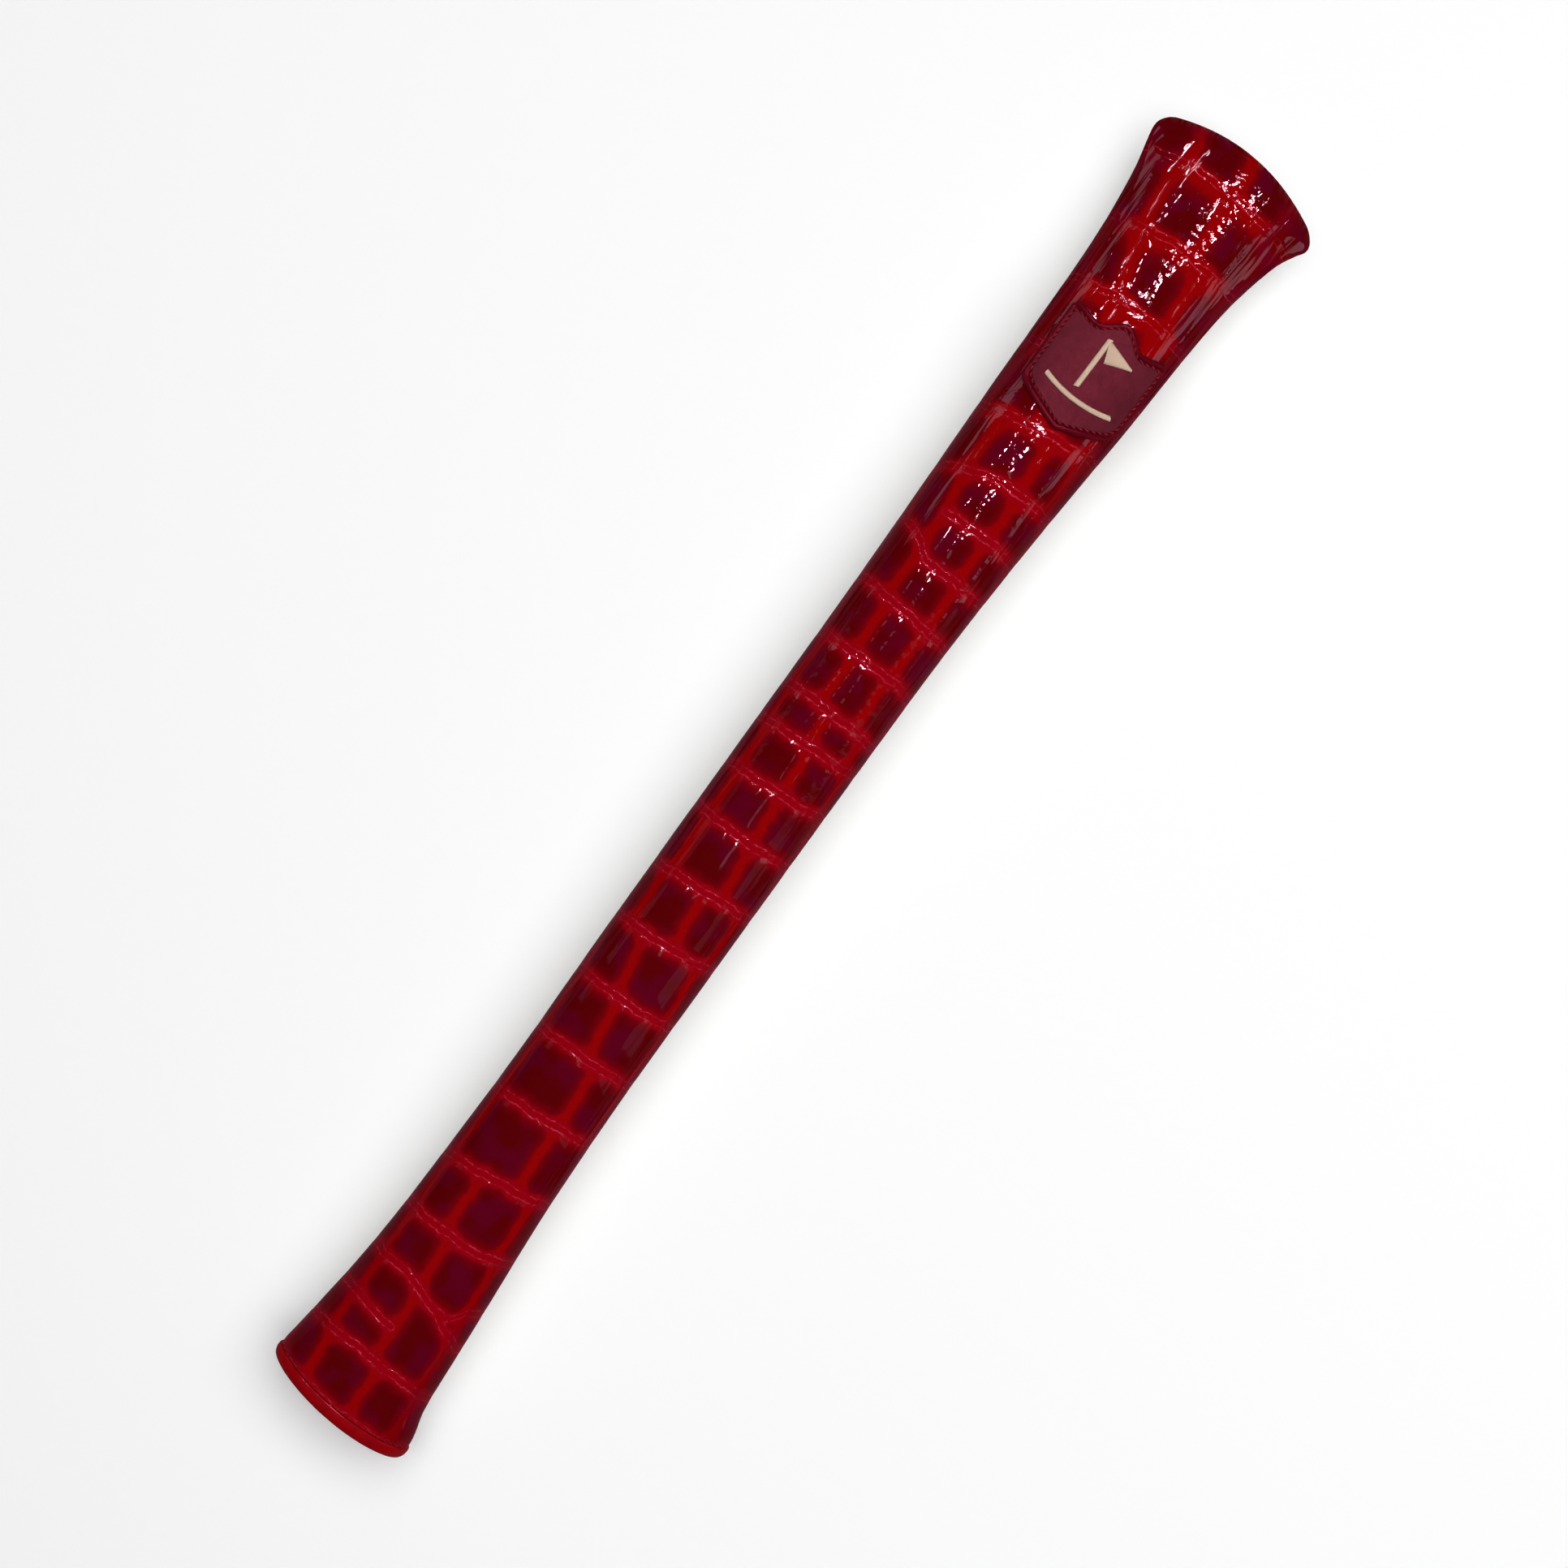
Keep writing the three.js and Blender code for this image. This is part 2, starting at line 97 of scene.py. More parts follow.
# Rows of scales from the crown to the mouth. Each has the groove across the cover at its mouth
# end, as (side, station) points, and the grooves between its scales, as (side at the crown end,
# side at the mouth end). A groove across that passes a shoulder goes on round the back.
ROWS = (
    (((-16, 345), (0, 344.5), (16.5, 345)), ((-14, -10), (0.5, 3), (14.5, 15.5))),
    (((-12, 326), (-1, 327), (7.5, 326.5), (19, 327)), ((-12.5, -9.5), (2.5, 4), (15.5, 17.5))),
    (((-13, 308.5), (0, 309.5), (15.5, 308.5)), ((-9, -4.5), (7.5, 8.5))),
    (((-15.5, 291), (0, 292), (13.5, 291)), ((-15, -15.5), (-3, -2.5), (8.5, 9))),
    (((-15.5, 272.5), (-7, 273.5), (4, 275), (14.5, 276)), ((-16, -16), (-3, -1.5), (12, 12.5))),
    (((-16, 255.5), (-8, 258), (2.5, 260), (17, 259.5)), ((-8.5, -8.5), (3.5, 4.5), (12.5, 14))),
    (((-6.5, 247), (2.5, 247.5), (18.5, 246.5)), ((-8, -6), (5.5, 5.5), (17.5, 18))),
    (
        ((-15.5, 242), (-7.5, 239), (-3, 236), (5.5, 235.5), (16, 235)),
        ((-6, -5.5), (5.5, 5.5), (16, 17)),
    ),
    (((-14, 225), (1, 223.5), (17.5, 222)), ((-5.5, -5.5), (6, 6.5))),
    (((-13.5, 209.5), (4.5, 209.5), (19, 207.5)), ((-3.9, -4.2), (6.5, 6.5))),
    (((-12.5, 196), (1, 195.5), (18, 194.5)), ((-3.3, -3.2), (6, 6.5))),
    (((-12.5, 186), (0, 186.5), (18, 187)), ((-12, -12), (-0.5, 0.5), (10, 10))),
    (((-12.5, 173.5), (1, 174), (14.5, 175)), ((-10.5, -10), (1, 2), (12.5, 13.5))),
    (((-13, 161.5), (1, 161), (15.5, 161.5)), ((-9.5, -9.5), (2, 3), (15.5, 15.5))),
    (((-13, 145.5), (1, 146.5), (16, 147)), ((-9, -9), (3, 5), (15.5, 17))),
    (((-13, 131), (0, 131.5), (12, 132.5)), ((-10, -9.5), (1, 2), (11.5, 12.5))),
    (((-13.5, 116), (0, 116), (11, 116.5)), ((-5, -1.5), (10, 12))),
    (((-14, 100), (0, 100.5), (13.5, 100.5)), ((-14, -14), (-1, 1), (14, 14.5))),
    (((-14.5, 83), (0, 84), (13, 84.5)), ((-13, -13), (4, 4.5))),
    (((-14.5, 64.5), (0, 66.5), (12, 67.5)), ((-12.5, -13), (4.5, 5))),
    (
        ((-14, 50.5), (-2.5, 50.5), (3, 50.5), (8.5, 51), (18.5, 52.5)),
        ((-13, -13.5), (-3, -3), (10.5, 10.5)),
    ),
    (
        ((-12, 38), (-7, 38), (-1, 37), (3, 35.5), (6.5, 34.5), (9.5, 35), (13, 38.5)),
        ((-12.5, -13), (-1, -0.5), (11.5, 12.5)),
    ),
    (((6, 34.5), (9.5, 32.5), (17, 29)), ((-12, -12), (0, 0.5), (12.5, 13))),
    (((-12.5, 27), (-5.5, 26.5), (0.3, 25.5)), ((-12, -12), (0.5, 0.5), (13, 13.5))),
    (((-17.5, 15.8), (-2.5, 17.5), (9, 17), (19, 16)), ((-12, -11.5), (0.5, 1), (13.5, 13.5))),
    (((-20, 3), (0, 3), (16.5, 3)), ((-10, -10), (3.5, 3), (15, 14.5))),
)
SHOULDER = 10.5
SCALE_WIDTH = 11.5
SCALE_DRIFT = {"reach": 1.8, "turn": 2.4}
SEAM_MARGIN = 4.5
FAR_AWAY = 50.0

# Relief of the leather's face, as depths and distances from a groove's middle
PLATEAU = -0.3
ACROSS_GROOVE = {"depth": 0.12, "reach": 1.5}
ALONG_GROOVE = {"depth": 0.08, "reach": 1.4}
CREASE = {"depth": 0.05, "middle": 0.8, "reach": 0.6}
DOME = {"depth": 0.16, "reach": 3.2}
ROLLING = {"depth": 0.05, "across": 5.3, "along": 23.0, "shift": 1.3}
OUTLINE = {"spread": 24, "share": 0.8, "depth": -0.25}
END_FADE = 3.0

# How grooves wander: two waves along a groove, with depths and phases that differ by kind
WAVER = {"long": 1.9, "short": 0.83, "short_share": 0.7, "short_phase": 2.3}
ACROSS_WAVER = {"depth": 0.28, "phase": 1.7}
ALONG_WAVER = {"depth": 0.22, "phase": 2.1}

# The stations between which the crown's look sets in: broader red and broken gloss
CROWN_LOOK = (235, 300)

# Airbrushing, along the cover and near its crown: how far the bright red reaches from a groove, and
# how far it takes to turn dark
BRUSH_CROWN_END = ((0.5, 3.8), (1.6, 7.0))
BRUSH_MOUTH_END = ((0.5, 3.6), (0.5, 2.8))
BRUSH_SIDES = ((0.2, 3.0), (0.4, 3.8))

LEATHER_START = 1.2
LEATHER_STATIONS = 634
LEATHER_COLUMNS = 150
CROWN_EDGE = 1.1
CROWN_EDGE_STEPS = 7
CROWN_WELD = 0.02
BACK_SEAM = {"half_width": 1.3, "depth": 0.75, "start": 16, "end": 331, "fade": 20}


# ---- Curves and places ----

def curve(points):
    """A smooth function through (station, value) pairs, level at its peaks, hollows and flats."""
    x, y = np.array(points, float).T
    last = len(x) - 1
    slope = np.empty(len(x))
    for i in range(len(x)):
        before, after = max(i - 1, 0), min(i + 1, last)
        turns = 0 < i < last and (y[i] - y[i - 1]) * (y[i + 1] - y[i]) <= 0
        slope[i] = 0 if turns else (y[after] - y[before]) / (x[after] - x[before])

    def value(station):
        s = np.clip(station, x[0], x[-1])
        k = np.clip(np.searchsorted(x, s) - 1, 0, last - 1)
        span = x[k + 1] - x[k]
        u = (s - x[k]) / span
        rise = y[k + 1] - y[k]
        bend = (1 - u) * (slope[k] * span - rise) + u * (rise - slope[k + 1] * span)
        return y[k] + u * rise + u * (1 - u) * bend

    return value


left_side, right_side = curve(LEFT_SIDE), curve(RIGHT_SIDE)
front_height, back_height = curve(FRONT_HEIGHT), curve(BACK_HEIGHT)


def smooth(value, low, high):
    u = np.clip((value - low) / (high - low), 0, 1)
    return u * u * (3 - 2 * u)


def lerp(a, b, share):
    return a + (b - a) * share


def bow(station, y):
    towards_crown = np.maximum(0, station - CROWN_BOW["start"]) / (LENGTH - CROWN_BOW["start"])
    towards_mouth = np.maximum(0, MOUTH_BOW["end"] - station) / MOUTH_BOW["end"]
    crown = CROWN_BOW["curvature"] * towards_crown ** CROWN_BOW["power"] * (y - CROWN_BOW["middle"]) ** 2
    mouth = MOUTH_BOW["curvature"] * towards_mouth ** MOUTH_BOW["power"] * (y - MOUTH_BOW["middle"]) ** 2
    return mouth - crown


def place(station, degrees, depth):
    """The point at a station, at an angle round the section and at a depth under the leather's face."""
    station, degrees, depth = np.broadcast_arrays(station, degrees, depth)
    angle = np.radians(degrees)
    left, right = left_side(station), right_side(station)
    front, back = front_height(station), back_height(station)
    pressed = np.minimum(PRESSED, (front - back) / PRESSED_SHARE)
    half_width = (left + right) / 2 - depth
    half_height = (front - back + pressed) / 2 - depth
    power = 2 / SECTION_POWER
    cosine, sine = np.cos(angle), np.sin(angle)
    y = (left - right) / 2 + half_width * np.sign(cosine) * np.abs(cosine) ** power
    z = (front + back - pressed) / 2 + half_height * np.sign(sine) * np.abs(sine) ** power
    x = station - LENGTH / 2 + bow(station, y)
    return np.stack([x, y + BOX_MIDDLE_Y, np.maximum(z, back + depth)], axis=-1)


def section_travel(station):
    """Angles turned from the top line, and the distance round the face that each has travelled."""
    turns = np.linspace(0, 180, SECTION_ANGLES)
    points = place(np.atleast_1d(station)[:, None], TOP_LINE + turns, 0)
    steps = np.linalg.norm(np.diff(points[..., 1:], axis=1), axis=-1)
    travelled = np.concatenate([np.zeros((len(steps), 1)), np.cumsum(steps, axis=1)], axis=1)
    return turns, travelled


def place_round(station, side, depth):
    """The point at a station, at a side and at a depth. Arrays give one point for each entry."""
    station, side, depth = (np.ravel(a) for a in np.broadcast_arrays(station, side, depth))
    turns, travelled = section_travel(station)
    turned = np.array([np.interp(abs(a), t, turns) for a, t in zip(side, travelled)])
    return place(station, TOP_LINE + np.sign(side) * turned, depth)


def path_of(station, side):
    """A path of (station, side) points, where either may be one value for all."""
    return np.stack(np.broadcast_arrays(station, side), -1)


def path_travel(path):
    """The distance travelled at each point of a path."""
    return np.concatenate([[0], np.cumsum(np.linalg.norm(np.diff(path, axis=0), axis=1))])


# ---- Meshes ----

def grid_faces(rows, columns, closed=False, ring=False):
    """Faces of a grid of points: closed joins each row's ends, ring the last row to the first."""
    down = rows if ring else rows - 1
    across = columns if closed else columns - 1
    row, column = np.meshgrid(np.arange(down), np.arange(across), indexing="ij")
    near, far = row * columns, (row + 1) % rows * columns
    beside = (column + 1) % columns
    return np.stack([near + column, near + beside, far + beside, far + column], axis=-1).reshape(-1, 4)


UP = np.array([0.0, 0.0, 1.0])
UP_NUDGE = np.array([0.001, 0.0007, 0.0])  # gives a path that runs straight up a sideways direction


class Shape:
    """Points and faces gathered from several parts, with values kept at each point."""

    def __init__(self):
        self.points = []
        self.faces = []
        self.values = {}
        self.count = 0

    def add(self, points, faces, **values):
        points = np.asarray(points, float).reshape(-1, 3)
        self.faces += [[self.count + int(i) for i in face] for face in faces]
        self.points.append(points)
        self.count += len(points)
        for name, value in values.items():
            self.values.setdefault(name, []).append(np.ravel(value))
        return self

    def add_tube(self, path, radius, sides=8):
        """A closed tube along a path, with one radius or with one for each point."""
        tangent = np.gradient(path, axis=0)
        tangent /= np.linalg.norm(tangent, axis=1, keepdims=True)
        sideways = np.cross(tangent, UP + UP_NUDGE)
        sideways /= np.linalg.norm(sideways, axis=1, keepdims=True)
        upward = np.cross(sideways, tangent)
        turn = (np.arange(sides) * 2 * np.pi / sides)[None, :, None]
        ring = np.cos(turn) * sideways[:, None] + np.sin(turn) * upward[:, None]
        radius = np.broadcast_to(radius, len(path)).reshape(-1, 1, 1)
        faces = grid_faces(len(path), sides, closed=True).tolist()
        faces.append(list(range(sides))[::-1])
        faces.append(list(range((len(path) - 1) * sides, len(path) * sides)))
        self.add(path[:, None] + radius * ring, faces)


def make_object(name, data):
    made = bpy.data.objects.new(name, data)
    bpy.context.scene.collection.objects.link(made)
    return made


def make_piece(name, shape, material, slot, *replaced):
    """A smooth mesh in metres, riding on the one body, that stands for the CAD nodes named."""
    mesh = bpy.data.meshes.new(name)
    points = np.concatenate(shape.points)
    mesh.from_pydata((points * MM).tolist(), [], shape.faces)
    mesh.update()
    for value_name, parts in shape.values.items():
        attribute = mesh.attributes.new(value_name, "FLOAT", "POINT")
        attribute.data.foreach_set("value", np.concatenate(parts).astype(np.float32))
    mesh.polygons.foreach_set("use_smooth", [True] * len(mesh.polygons))
    mesh.materials.append(material)
    piece = make_object(name, mesh)
    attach(piece, "root")
    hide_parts(*replaced)
    return piece


# ---- Materials ----

MIX_A, MIX_B, MIX_RESULT = 6, 7, 2  # a Mix node's sockets for colours


class Graph:
    """A material's nodes, written as nested calls that return sockets."""

    def __init__(self, name):
        self.material = bpy.data.materials.new(name)
        self.material.use_nodes = True
        self.nodes = self.material.node_tree.nodes
        self.links = self.material.node_tree.links
        self.shader = self.nodes["Principled BSDF"]

    def set(self, socket, value):
        if isinstance(value, bpy.types.NodeSocket):
            self.links.new(value, socket)
        elif value is not None:
            socket.default_value = value

    def node(self, kind, inputs, output=0, **settings):
        node = self.nodes.new(kind)
        for key, value in settings.items():
            setattr(node, key, value)
        for key, value in inputs.items():
            self.set(node.inputs[key], value)
        return node.outputs[output]

    def math(self, operation, a, b=None, c=None):
        return self.node("ShaderNodeMath", {0: a, 1: b, 2: c}, operation=operation)

    def times(self, a, b):
        return self.math("MULTIPLY", a, b)

    def attribute(self, name):
        return self.node("ShaderNodeAttribute", {}, "Fac", attribute_name=name)

    def position(self):
        """The point on the piece, in millimetres."""
        point = self.node("ShaderNodeTexCoord", {}, "Object")
        return self.node("ShaderNodeVectorMath", {0: point, "Scale": 1 / MM}, operation="SCALE")

    def combine(self, x, y):
        return self.node("ShaderNodeCombineXYZ", {"X": x, "Y": y})

    def stretch(self, vector, x, y, z):
        return self.node("ShaderNodeVectorMath", {0: vector, 1: (x, y, z)}, operation="MULTIPLY")

    def noise(self, vector, scale, detail=2.0, roughness=0.5, distortion=0.0):
        inputs = {
            "Vector": vector, "Scale": scale, "Detail": detail, "Roughness": roughness,
            "Distortion": distortion,
        }
        return self.node("ShaderNodeTexNoise", inputs, "Fac")

    def cells(self, vector, scale):
        """The distance to the nearest of many scattered points."""
        return self.node("ShaderNodeTexVoronoi", {"Vector": vector, "Scale": scale}, "Distance")

    def span(self, value, low, high, to_low=0.0, to_high=1.0, kind="SMOOTHSTEP"):
        inputs = {
            "Value": value, "From Min": low, "From Max": high, "To Min": to_low, "To Max": to_high,
        }
        return self.node("ShaderNodeMapRange", inputs, interpolation_type=kind)

    def mix(self, share, a, b):
        inputs = {"Factor": share, MIX_A: a, MIX_B: b}
        return self.node("ShaderNodeMix", inputs, MIX_RESULT, data_type="RGBA")

    def bump(self, height):
        """Bump whose height is in millimetres."""
        return self.node("ShaderNodeBump", {"Height": height, "Distance": MM})

    def finish(self, **inputs):
        for key, value in inputs.items():
            self.set(self.shader.inputs[key.replace("_", " ")], value)
        return self.material


def colour(red, green, blue):
    return (red, green, blue, 1.0)


DARK = colour(0.090, 0.0003, 0.0015)
DARK_PURPLE = colour(0.096, 0.0004, 0.0090)
MIDDLE_RED = colour(0.145, 0.0003, 0.0028)
CRIMSON = colour(0.265, 0.0004, 0.0050)
# Painted highlight: the pale pink laid along the creases as their glint
PAINTED_CREASE_GLINT = colour(0.52, 0.020, 0.050)
PURE_RED = colour(0.268, 0.0004, 0.0009)
COAT_TINT = colour(1.0, 0.52, 0.64)
PATCH_TINT = colour(1.0, 0.12, 0.20)
GLOSS = 0.5
DULL_GLOSS = 0.0


# Noises on the patent leather: stretch across and along, scale in a millimetre, detail, roughness
SKIN_NOISE = {
    "wobble": (1.0, 1.0, 0.9, 3, 0.6),
    "broken": (1.0, 1.0, 0.6, 2, 0.5),
    "wander": (1.0, 1.0, 0.5, 3, 0.5),
    "purple": (1.0, 1.0, 0.13, 1, 0.5),
    "mottle": (1.0, 1.0, 1.7, 4, 0.6),
    "rows": (0.45, 1.3, 1.2, 2, 0.5),
    "columns": (1.0, 1.0, 1.0, 1.5, 0.5),
    "restless": (1.0, 1.0, 0.16, 2, 0.5),
    "ripple": (0.8, 1.2, 0.8, 1, 0.5),
    "streaks": (1.0, 0.06, 0.65, 2, 0.5),
    "dots": (0.8, 1.0, 0.66, 2, 0.5),
    "stripes": (1.0, 0.05, 0.9, 2, 0.6),
    "worn": (1.0, 1.0, 0.8, 4, 0.7),
}

# How a value is read: where it starts and stops changing, and what it gives at both, else 0 and 1
SKIN_SPAN = {
    "wobble": (0.25, 0.75, -0.32, 0.32),
    "broken": (0.42, 0.62, 0.1, 1.0),
    "crease": (0.0, 0.26, 1.0, 0.0),
    "seam": (0.0, 0.3, 1.0, 0.0),
    "wander": (0.2, 0.8, -0.10, 0.10),
    "purple": (0.42, 0.62),
    "between_ends": (0.0, 2.5),
    "mottle": (0.35, 0.75, 0.0, 0.3),
    "red_to_middle": (0.08, 0.5),
    "middle_to_dark": (0.3, 1.0),
    # Painted shade on the flanks: where it starts and ends round the side, and how strong it is along
    # the cover
    "painted_shade_side": (10.5, 15.5),
    "painted_shade_by_crown": (0.0, 1.0, 0.5, 0.8),
    # Painted crease highlight, stronger on the top than down the sides
    "painted_glint_by_side": (5.0, 13.0, 0.85, 0.4),
    "near_row": (0.6, 2.4, 1.0, 0.0),
    "near_column": (0.3, 1.8, 1.0, 0.0),
    "flank_start": (5.5, 9.0),
    "flank_end": (12.5, 15.5, 1.0, 0.15),
    "restless": (0.4, 0.6, 0.12, 1.0),
    "off_outline": (3.0, 7.0, 0.1, 1.0),
    "dots": (0.45, 0.49),
    "dotted_side": (8.0, 10.0, 1.0, 0.0),
    "dotted_station": (150.0, 190.0),
    "stripes": (0.47, 0.56),
    "striped_side": (6.0, 9.0),
    "gloss": (0.0, 1.0, GLOSS, DULL_GLOSS),
    "worn": (0.3, 0.8, 0.025, 0.06),
}

# Heights of the bump's patterns in millimetres, added up in this order
SKIN_HEIGHT = {
    "crease": -0.08, "seam": -0.05, "rows": 0.035, "columns": 0.045, "ripple": 0.06, "streaks": 0.13,
}
SEAM_WOBBLE = 0.8
STREAKS_ON_TOP = 0.09
OUTLINE_AT = 20.0
PATENT_IOR = 1.52


def patent_leather():
    g = Graph("patent_crocodile_leather")
    side, station = g.attribute("side"), g.attribute("station")
    across, along = g.attribute("across"), g.attribute("along")
    brushed, crown = g.attribute("brushed"), g.attribute("crown")
    skin = g.combine(side, station)
    outward = g.math("ABSOLUTE", side)
    aside = g.math("ABSOLUTE", along)

    def noise(name):
        stretch_across, stretch_along, *grain = SKIN_NOISE[name]
        return g.noise(g.stretch(skin, stretch_across, stretch_along, 1.0), *grain)

    def read(name, value, kind="SMOOTHSTEP"):
        return g.span(value, *SKIN_SPAN[name], kind=kind)

    # Two creases along each groove across, one down each groove along, wandering and broken
    wobble = read("wobble", noise("wobble"), "LINEAR")
    off_crease = g.math("SUBTRACT", g.math("ADD", across, wobble), CREASE["middle"])
    crease = read("crease", g.math("ABSOLUTE", off_crease))
    crease = g.times(crease, read("broken", noise("broken")))
    off_seam = g.math("ADD", along, g.times(wobble, SEAM_WOBBLE))
    seam = g.times(read("seam", g.math("ABSOLUTE", off_seam)), crown)

    # Airbrushed colour: its edge wanders a little, and the dark turns purple from place to place
    edge = g.math("ADD", brushed, read("wander", noise("wander"), "LINEAR"))
    dark = g.mix(read("purple", noise("purple")), DARK, DARK_PURPLE)
    between_ends = read("between_ends", g.math("SUBTRACT", across, aside))
    red = g.mix(g.math("MAXIMUM", between_ends, crown), CRIMSON, PURE_RED)
    red = g.mix(read("mottle", noise("mottle")), red, MIDDLE_RED)
    base = g.mix(read("red_to_middle", edge), red, MIDDLE_RED)
    base = g.mix(read("middle_to_dark", edge), base, dark)
    # Painted shade: the flanks turn towards the dark colour, more so near the crown
    painted_flank_shade = g.times(read("painted_shade_side", outward), read("painted_shade_by_crown", crown))
    base = g.mix(painted_flank_shade, base, dark)
    # Painted highlight: a paler pink along the creases stands in for their glint
    base = g.mix(g.times(crease, read("painted_glint_by_side", outward)), base, PAINTED_CREASE_GLINT)

    # Wrinkles in the grooves, strongest near the crown, and streaks along the flanks of the scales
    near_row = read("near_row", across)
    rows = g.times(near_row, noise("rows"))
    columns = g.times(read("near_column", aside), crown)
    columns = g.times(columns, noise("columns"))
    flank = g.times(read("flank_start", outward), read("flank_end", outward))
    restless = g.times(read("restless", noise("restless")), crown)
    ripple = g.times(noise("ripple"), restless)
    streaked = g.math("MULTIPLY_ADD", flank, 1 - STREAKS_ON_TOP, STREAKS_ON_TOP)
    streaks = g.times(noise("streaks"), streaked)
    patterns = {
        "crease": crease, "seam": seam, "rows": rows, "columns": columns, "ripple": ripple,
        "streaks": streaks,
    }
    height = 0.0
    for name, pattern_height in SKIN_HEIGHT.items():
        height = g.math("MULTIPLY_ADD", patterns[name], pattern_height, height)
    from_outline = g.math("ABSOLUTE", g.math("SUBTRACT", outward, OUTLINE_AT))
    height = g.times(height, read("off_outline", from_outline))

    # Gloss, broken into dots by dull wrinkles near the crown and into streaks down the flanks
    dots = g.times(read("dots", noise("dots")), read("dotted_side", outward))
    dots = g.times(dots, g.math("MAXIMUM", read("dotted_station", station), near_row))
    striped = g.math("MAXIMUM", flank, g.times(read("striped_side", outward), crown))
    stripes = g.times(read("stripes", noise("stripes")), striped)
    return g.finish(
        Base_Color=base, Roughness=read("worn", noise("worn")), Normal=g.bump(height),
        Specular_Tint=COAT_TINT, IOR=PATENT_IOR,
        Specular_IOR_Level=read("gloss", g.math("MAXIMUM", dots, stripes)),
    )


NOISE_MIDDLE = (0.3, 0.7)  # the part of a noise's range that it mostly keeps to
CALF = {
    "patch_noise": (0.35, 4), "patch_span": (0.3, 0.75),
    "fleck_noise": (2.6, 3, 0.7), "fleck_span": (0.45, 0.75, 0.0, 0.55),
    "pore_span": (0.0, 0.45), "pore_height": 0.03,
    "crease_noise": (1.1, 4, 0.6), "crease_height": 0.10,
    "wear_noise": (1.4, 3), "smoother": 0.06, "rougher": 0.08,
}
CALF_GLOSS = 0.25


def smooth_leather(name, tone, shade, roughness, pores, tint, grain, gloss=CALF_GLOSS):
    """Calf leather: fine pores, soft shading from place to place and a few creases."""
    g = Graph(name)
    p = g.position()
    patchy = g.span(g.noise(p, *CALF["patch_noise"]), *CALF["patch_span"])
    flecks = g.span(g.noise(p, *CALF["fleck_noise"]), *CALF["fleck_span"])
    base = g.mix(flecks, g.mix(patchy, tone, shade), shade)
    height = g.times(g.span(g.cells(p, pores), *CALF["pore_span"]), CALF["pore_height"] * grain)
    creases = g.noise(p, *CALF["crease_noise"])
    height = g.math("MULTIPLY_ADD", creases, CALF["crease_height"] * grain, height)
    wear = g.noise(p, *CALF["wear_noise"])
    rough = g.span(wear, *NOISE_MIDDLE, roughness - CALF["smoother"], roughness + CALF["rougher"])
    return g.finish(
        Base_Color=base, Roughness=rough, Normal=g.bump(height), Specular_Tint=tint,
        Specular_IOR_Level=gloss,
    )


SPUN = {
    "stretch": (1.0, 1.0, 0.5), "distortion": 1.2, "detail": 2.0, "lint_noise": (7.0, 3, 0.7),
    "ply_span": (0.1, 0.9, 0.0, 0.75), "lint_span": (0.45, 0.8, 0.0, 0.4),
    "ply_height": 0.05, "lint_height": 0.03, "roughness": (0.42, 0.62), "gloss": 0.12,
    "sheen_roughness": 0.4,
}


def thread(name, tone, shade, twist, sheen):
    """Spun thread: fine slanting plies with lint."""
    g = Graph(name)
    p = g.position()
    ply = g.node("ShaderNodeTexWave", {
        "Vector": g.stretch(p, *SPUN["stretch"]), "Scale": twist, "Distortion": SPUN["distortion"],
        "Detail": SPUN["detail"],
    }, "Fac", bands_direction="DIAGONAL")
    lint = g.noise(p, *SPUN["lint_noise"])
    base = g.mix(g.span(ply, *SPUN["ply_span"]), shade, tone)
    base = g.mix(g.span(lint, *SPUN["lint_span"]), base, shade)
    height = g.math("MULTIPLY_ADD", ply, SPUN["ply_height"], g.times(lint, SPUN["lint_height"]))
    rough = g.span(lint, *NOISE_MIDDLE, *SPUN["roughness"])
    return g.finish(
        Base_Color=base, Roughness=rough, Normal=g.bump(height), Specular_IOR_Level=SPUN["gloss"],
        Sheen_Weight=sheen, Sheen_Roughness=SPUN["sheen_roughness"],
    )


PLUSH = {
    "tufts": 1.1, "tuft_height": -0.25, "pile_noise": (3.0, 4, 0.65), "pile_height": 0.3,
    "dark": colour(0.018, 0.004, 0.006), "light": colour(0.060, 0.012, 0.018),
    "roughness": (0.82, 0.98), "sheen": 0.6, "sheen_roughness": 0.5,
}


def plush():
    """Short-pile lining cloth."""
    g = Graph("plush_lining")
    p = g.position()
    pile = g.noise(p, *PLUSH["pile_noise"])
    pile_height = g.times(pile, PLUSH["pile_height"])
    height = g.math("MULTIPLY_ADD", g.cells(p, PLUSH["tufts"]), PLUSH["tuft_height"], pile_height)
    return g.finish(
        Base_Color=g.mix(g.span(pile, *NOISE_MIDDLE), PLUSH["dark"], PLUSH["light"]),
        Roughness=g.span(pile, *NOISE_MIDDLE, *PLUSH["roughness"]), Normal=g.bump(height),
        Sheen_Weight=PLUSH["sheen"], Sheen_Roughness=PLUSH["sheen_roughness"],
    )


FELT = {
    "stretch": (0.5, 1.0, 1.0), "fibre_noise": (2.2, 5, 0.7, 1.5), "height": 0.2,
    "dark": colour(0.45, 0.42, 0.36), "light": colour(0.66, 0.63, 0.56), "roughness": (0.86, 0.97),
}


def felt():
    """Pressed interlining felt."""
    g = Graph("interlining_felt")
    fibres = g.noise(g.stretch(g.position(), *FELT["stretch"]), *FELT["fibre_noise"])
    return g.finish(
        Base_Color=g.mix(g.span(fibres, *NOISE_MIDDLE), FELT["dark"], FELT["light"]),
        Roughness=g.span(fibres, *NOISE_MIDDLE, *FELT["roughness"]),
        Normal=g.bump(g.times(fibres, FELT["height"])),
    )


# ---- The leather ----

def across_grooves():
    """Each groove across the cover: its station at a side, and the sides where it stops."""
    made = []
    for points, _ in ROWS:
        start = -np.inf if points[0][0] < -SHOULDER else points[0][0]
        end = np.inf if points[-1][0] > SHOULDER else points[-1][0]
        made.append((curve(points), start, end))
    return made


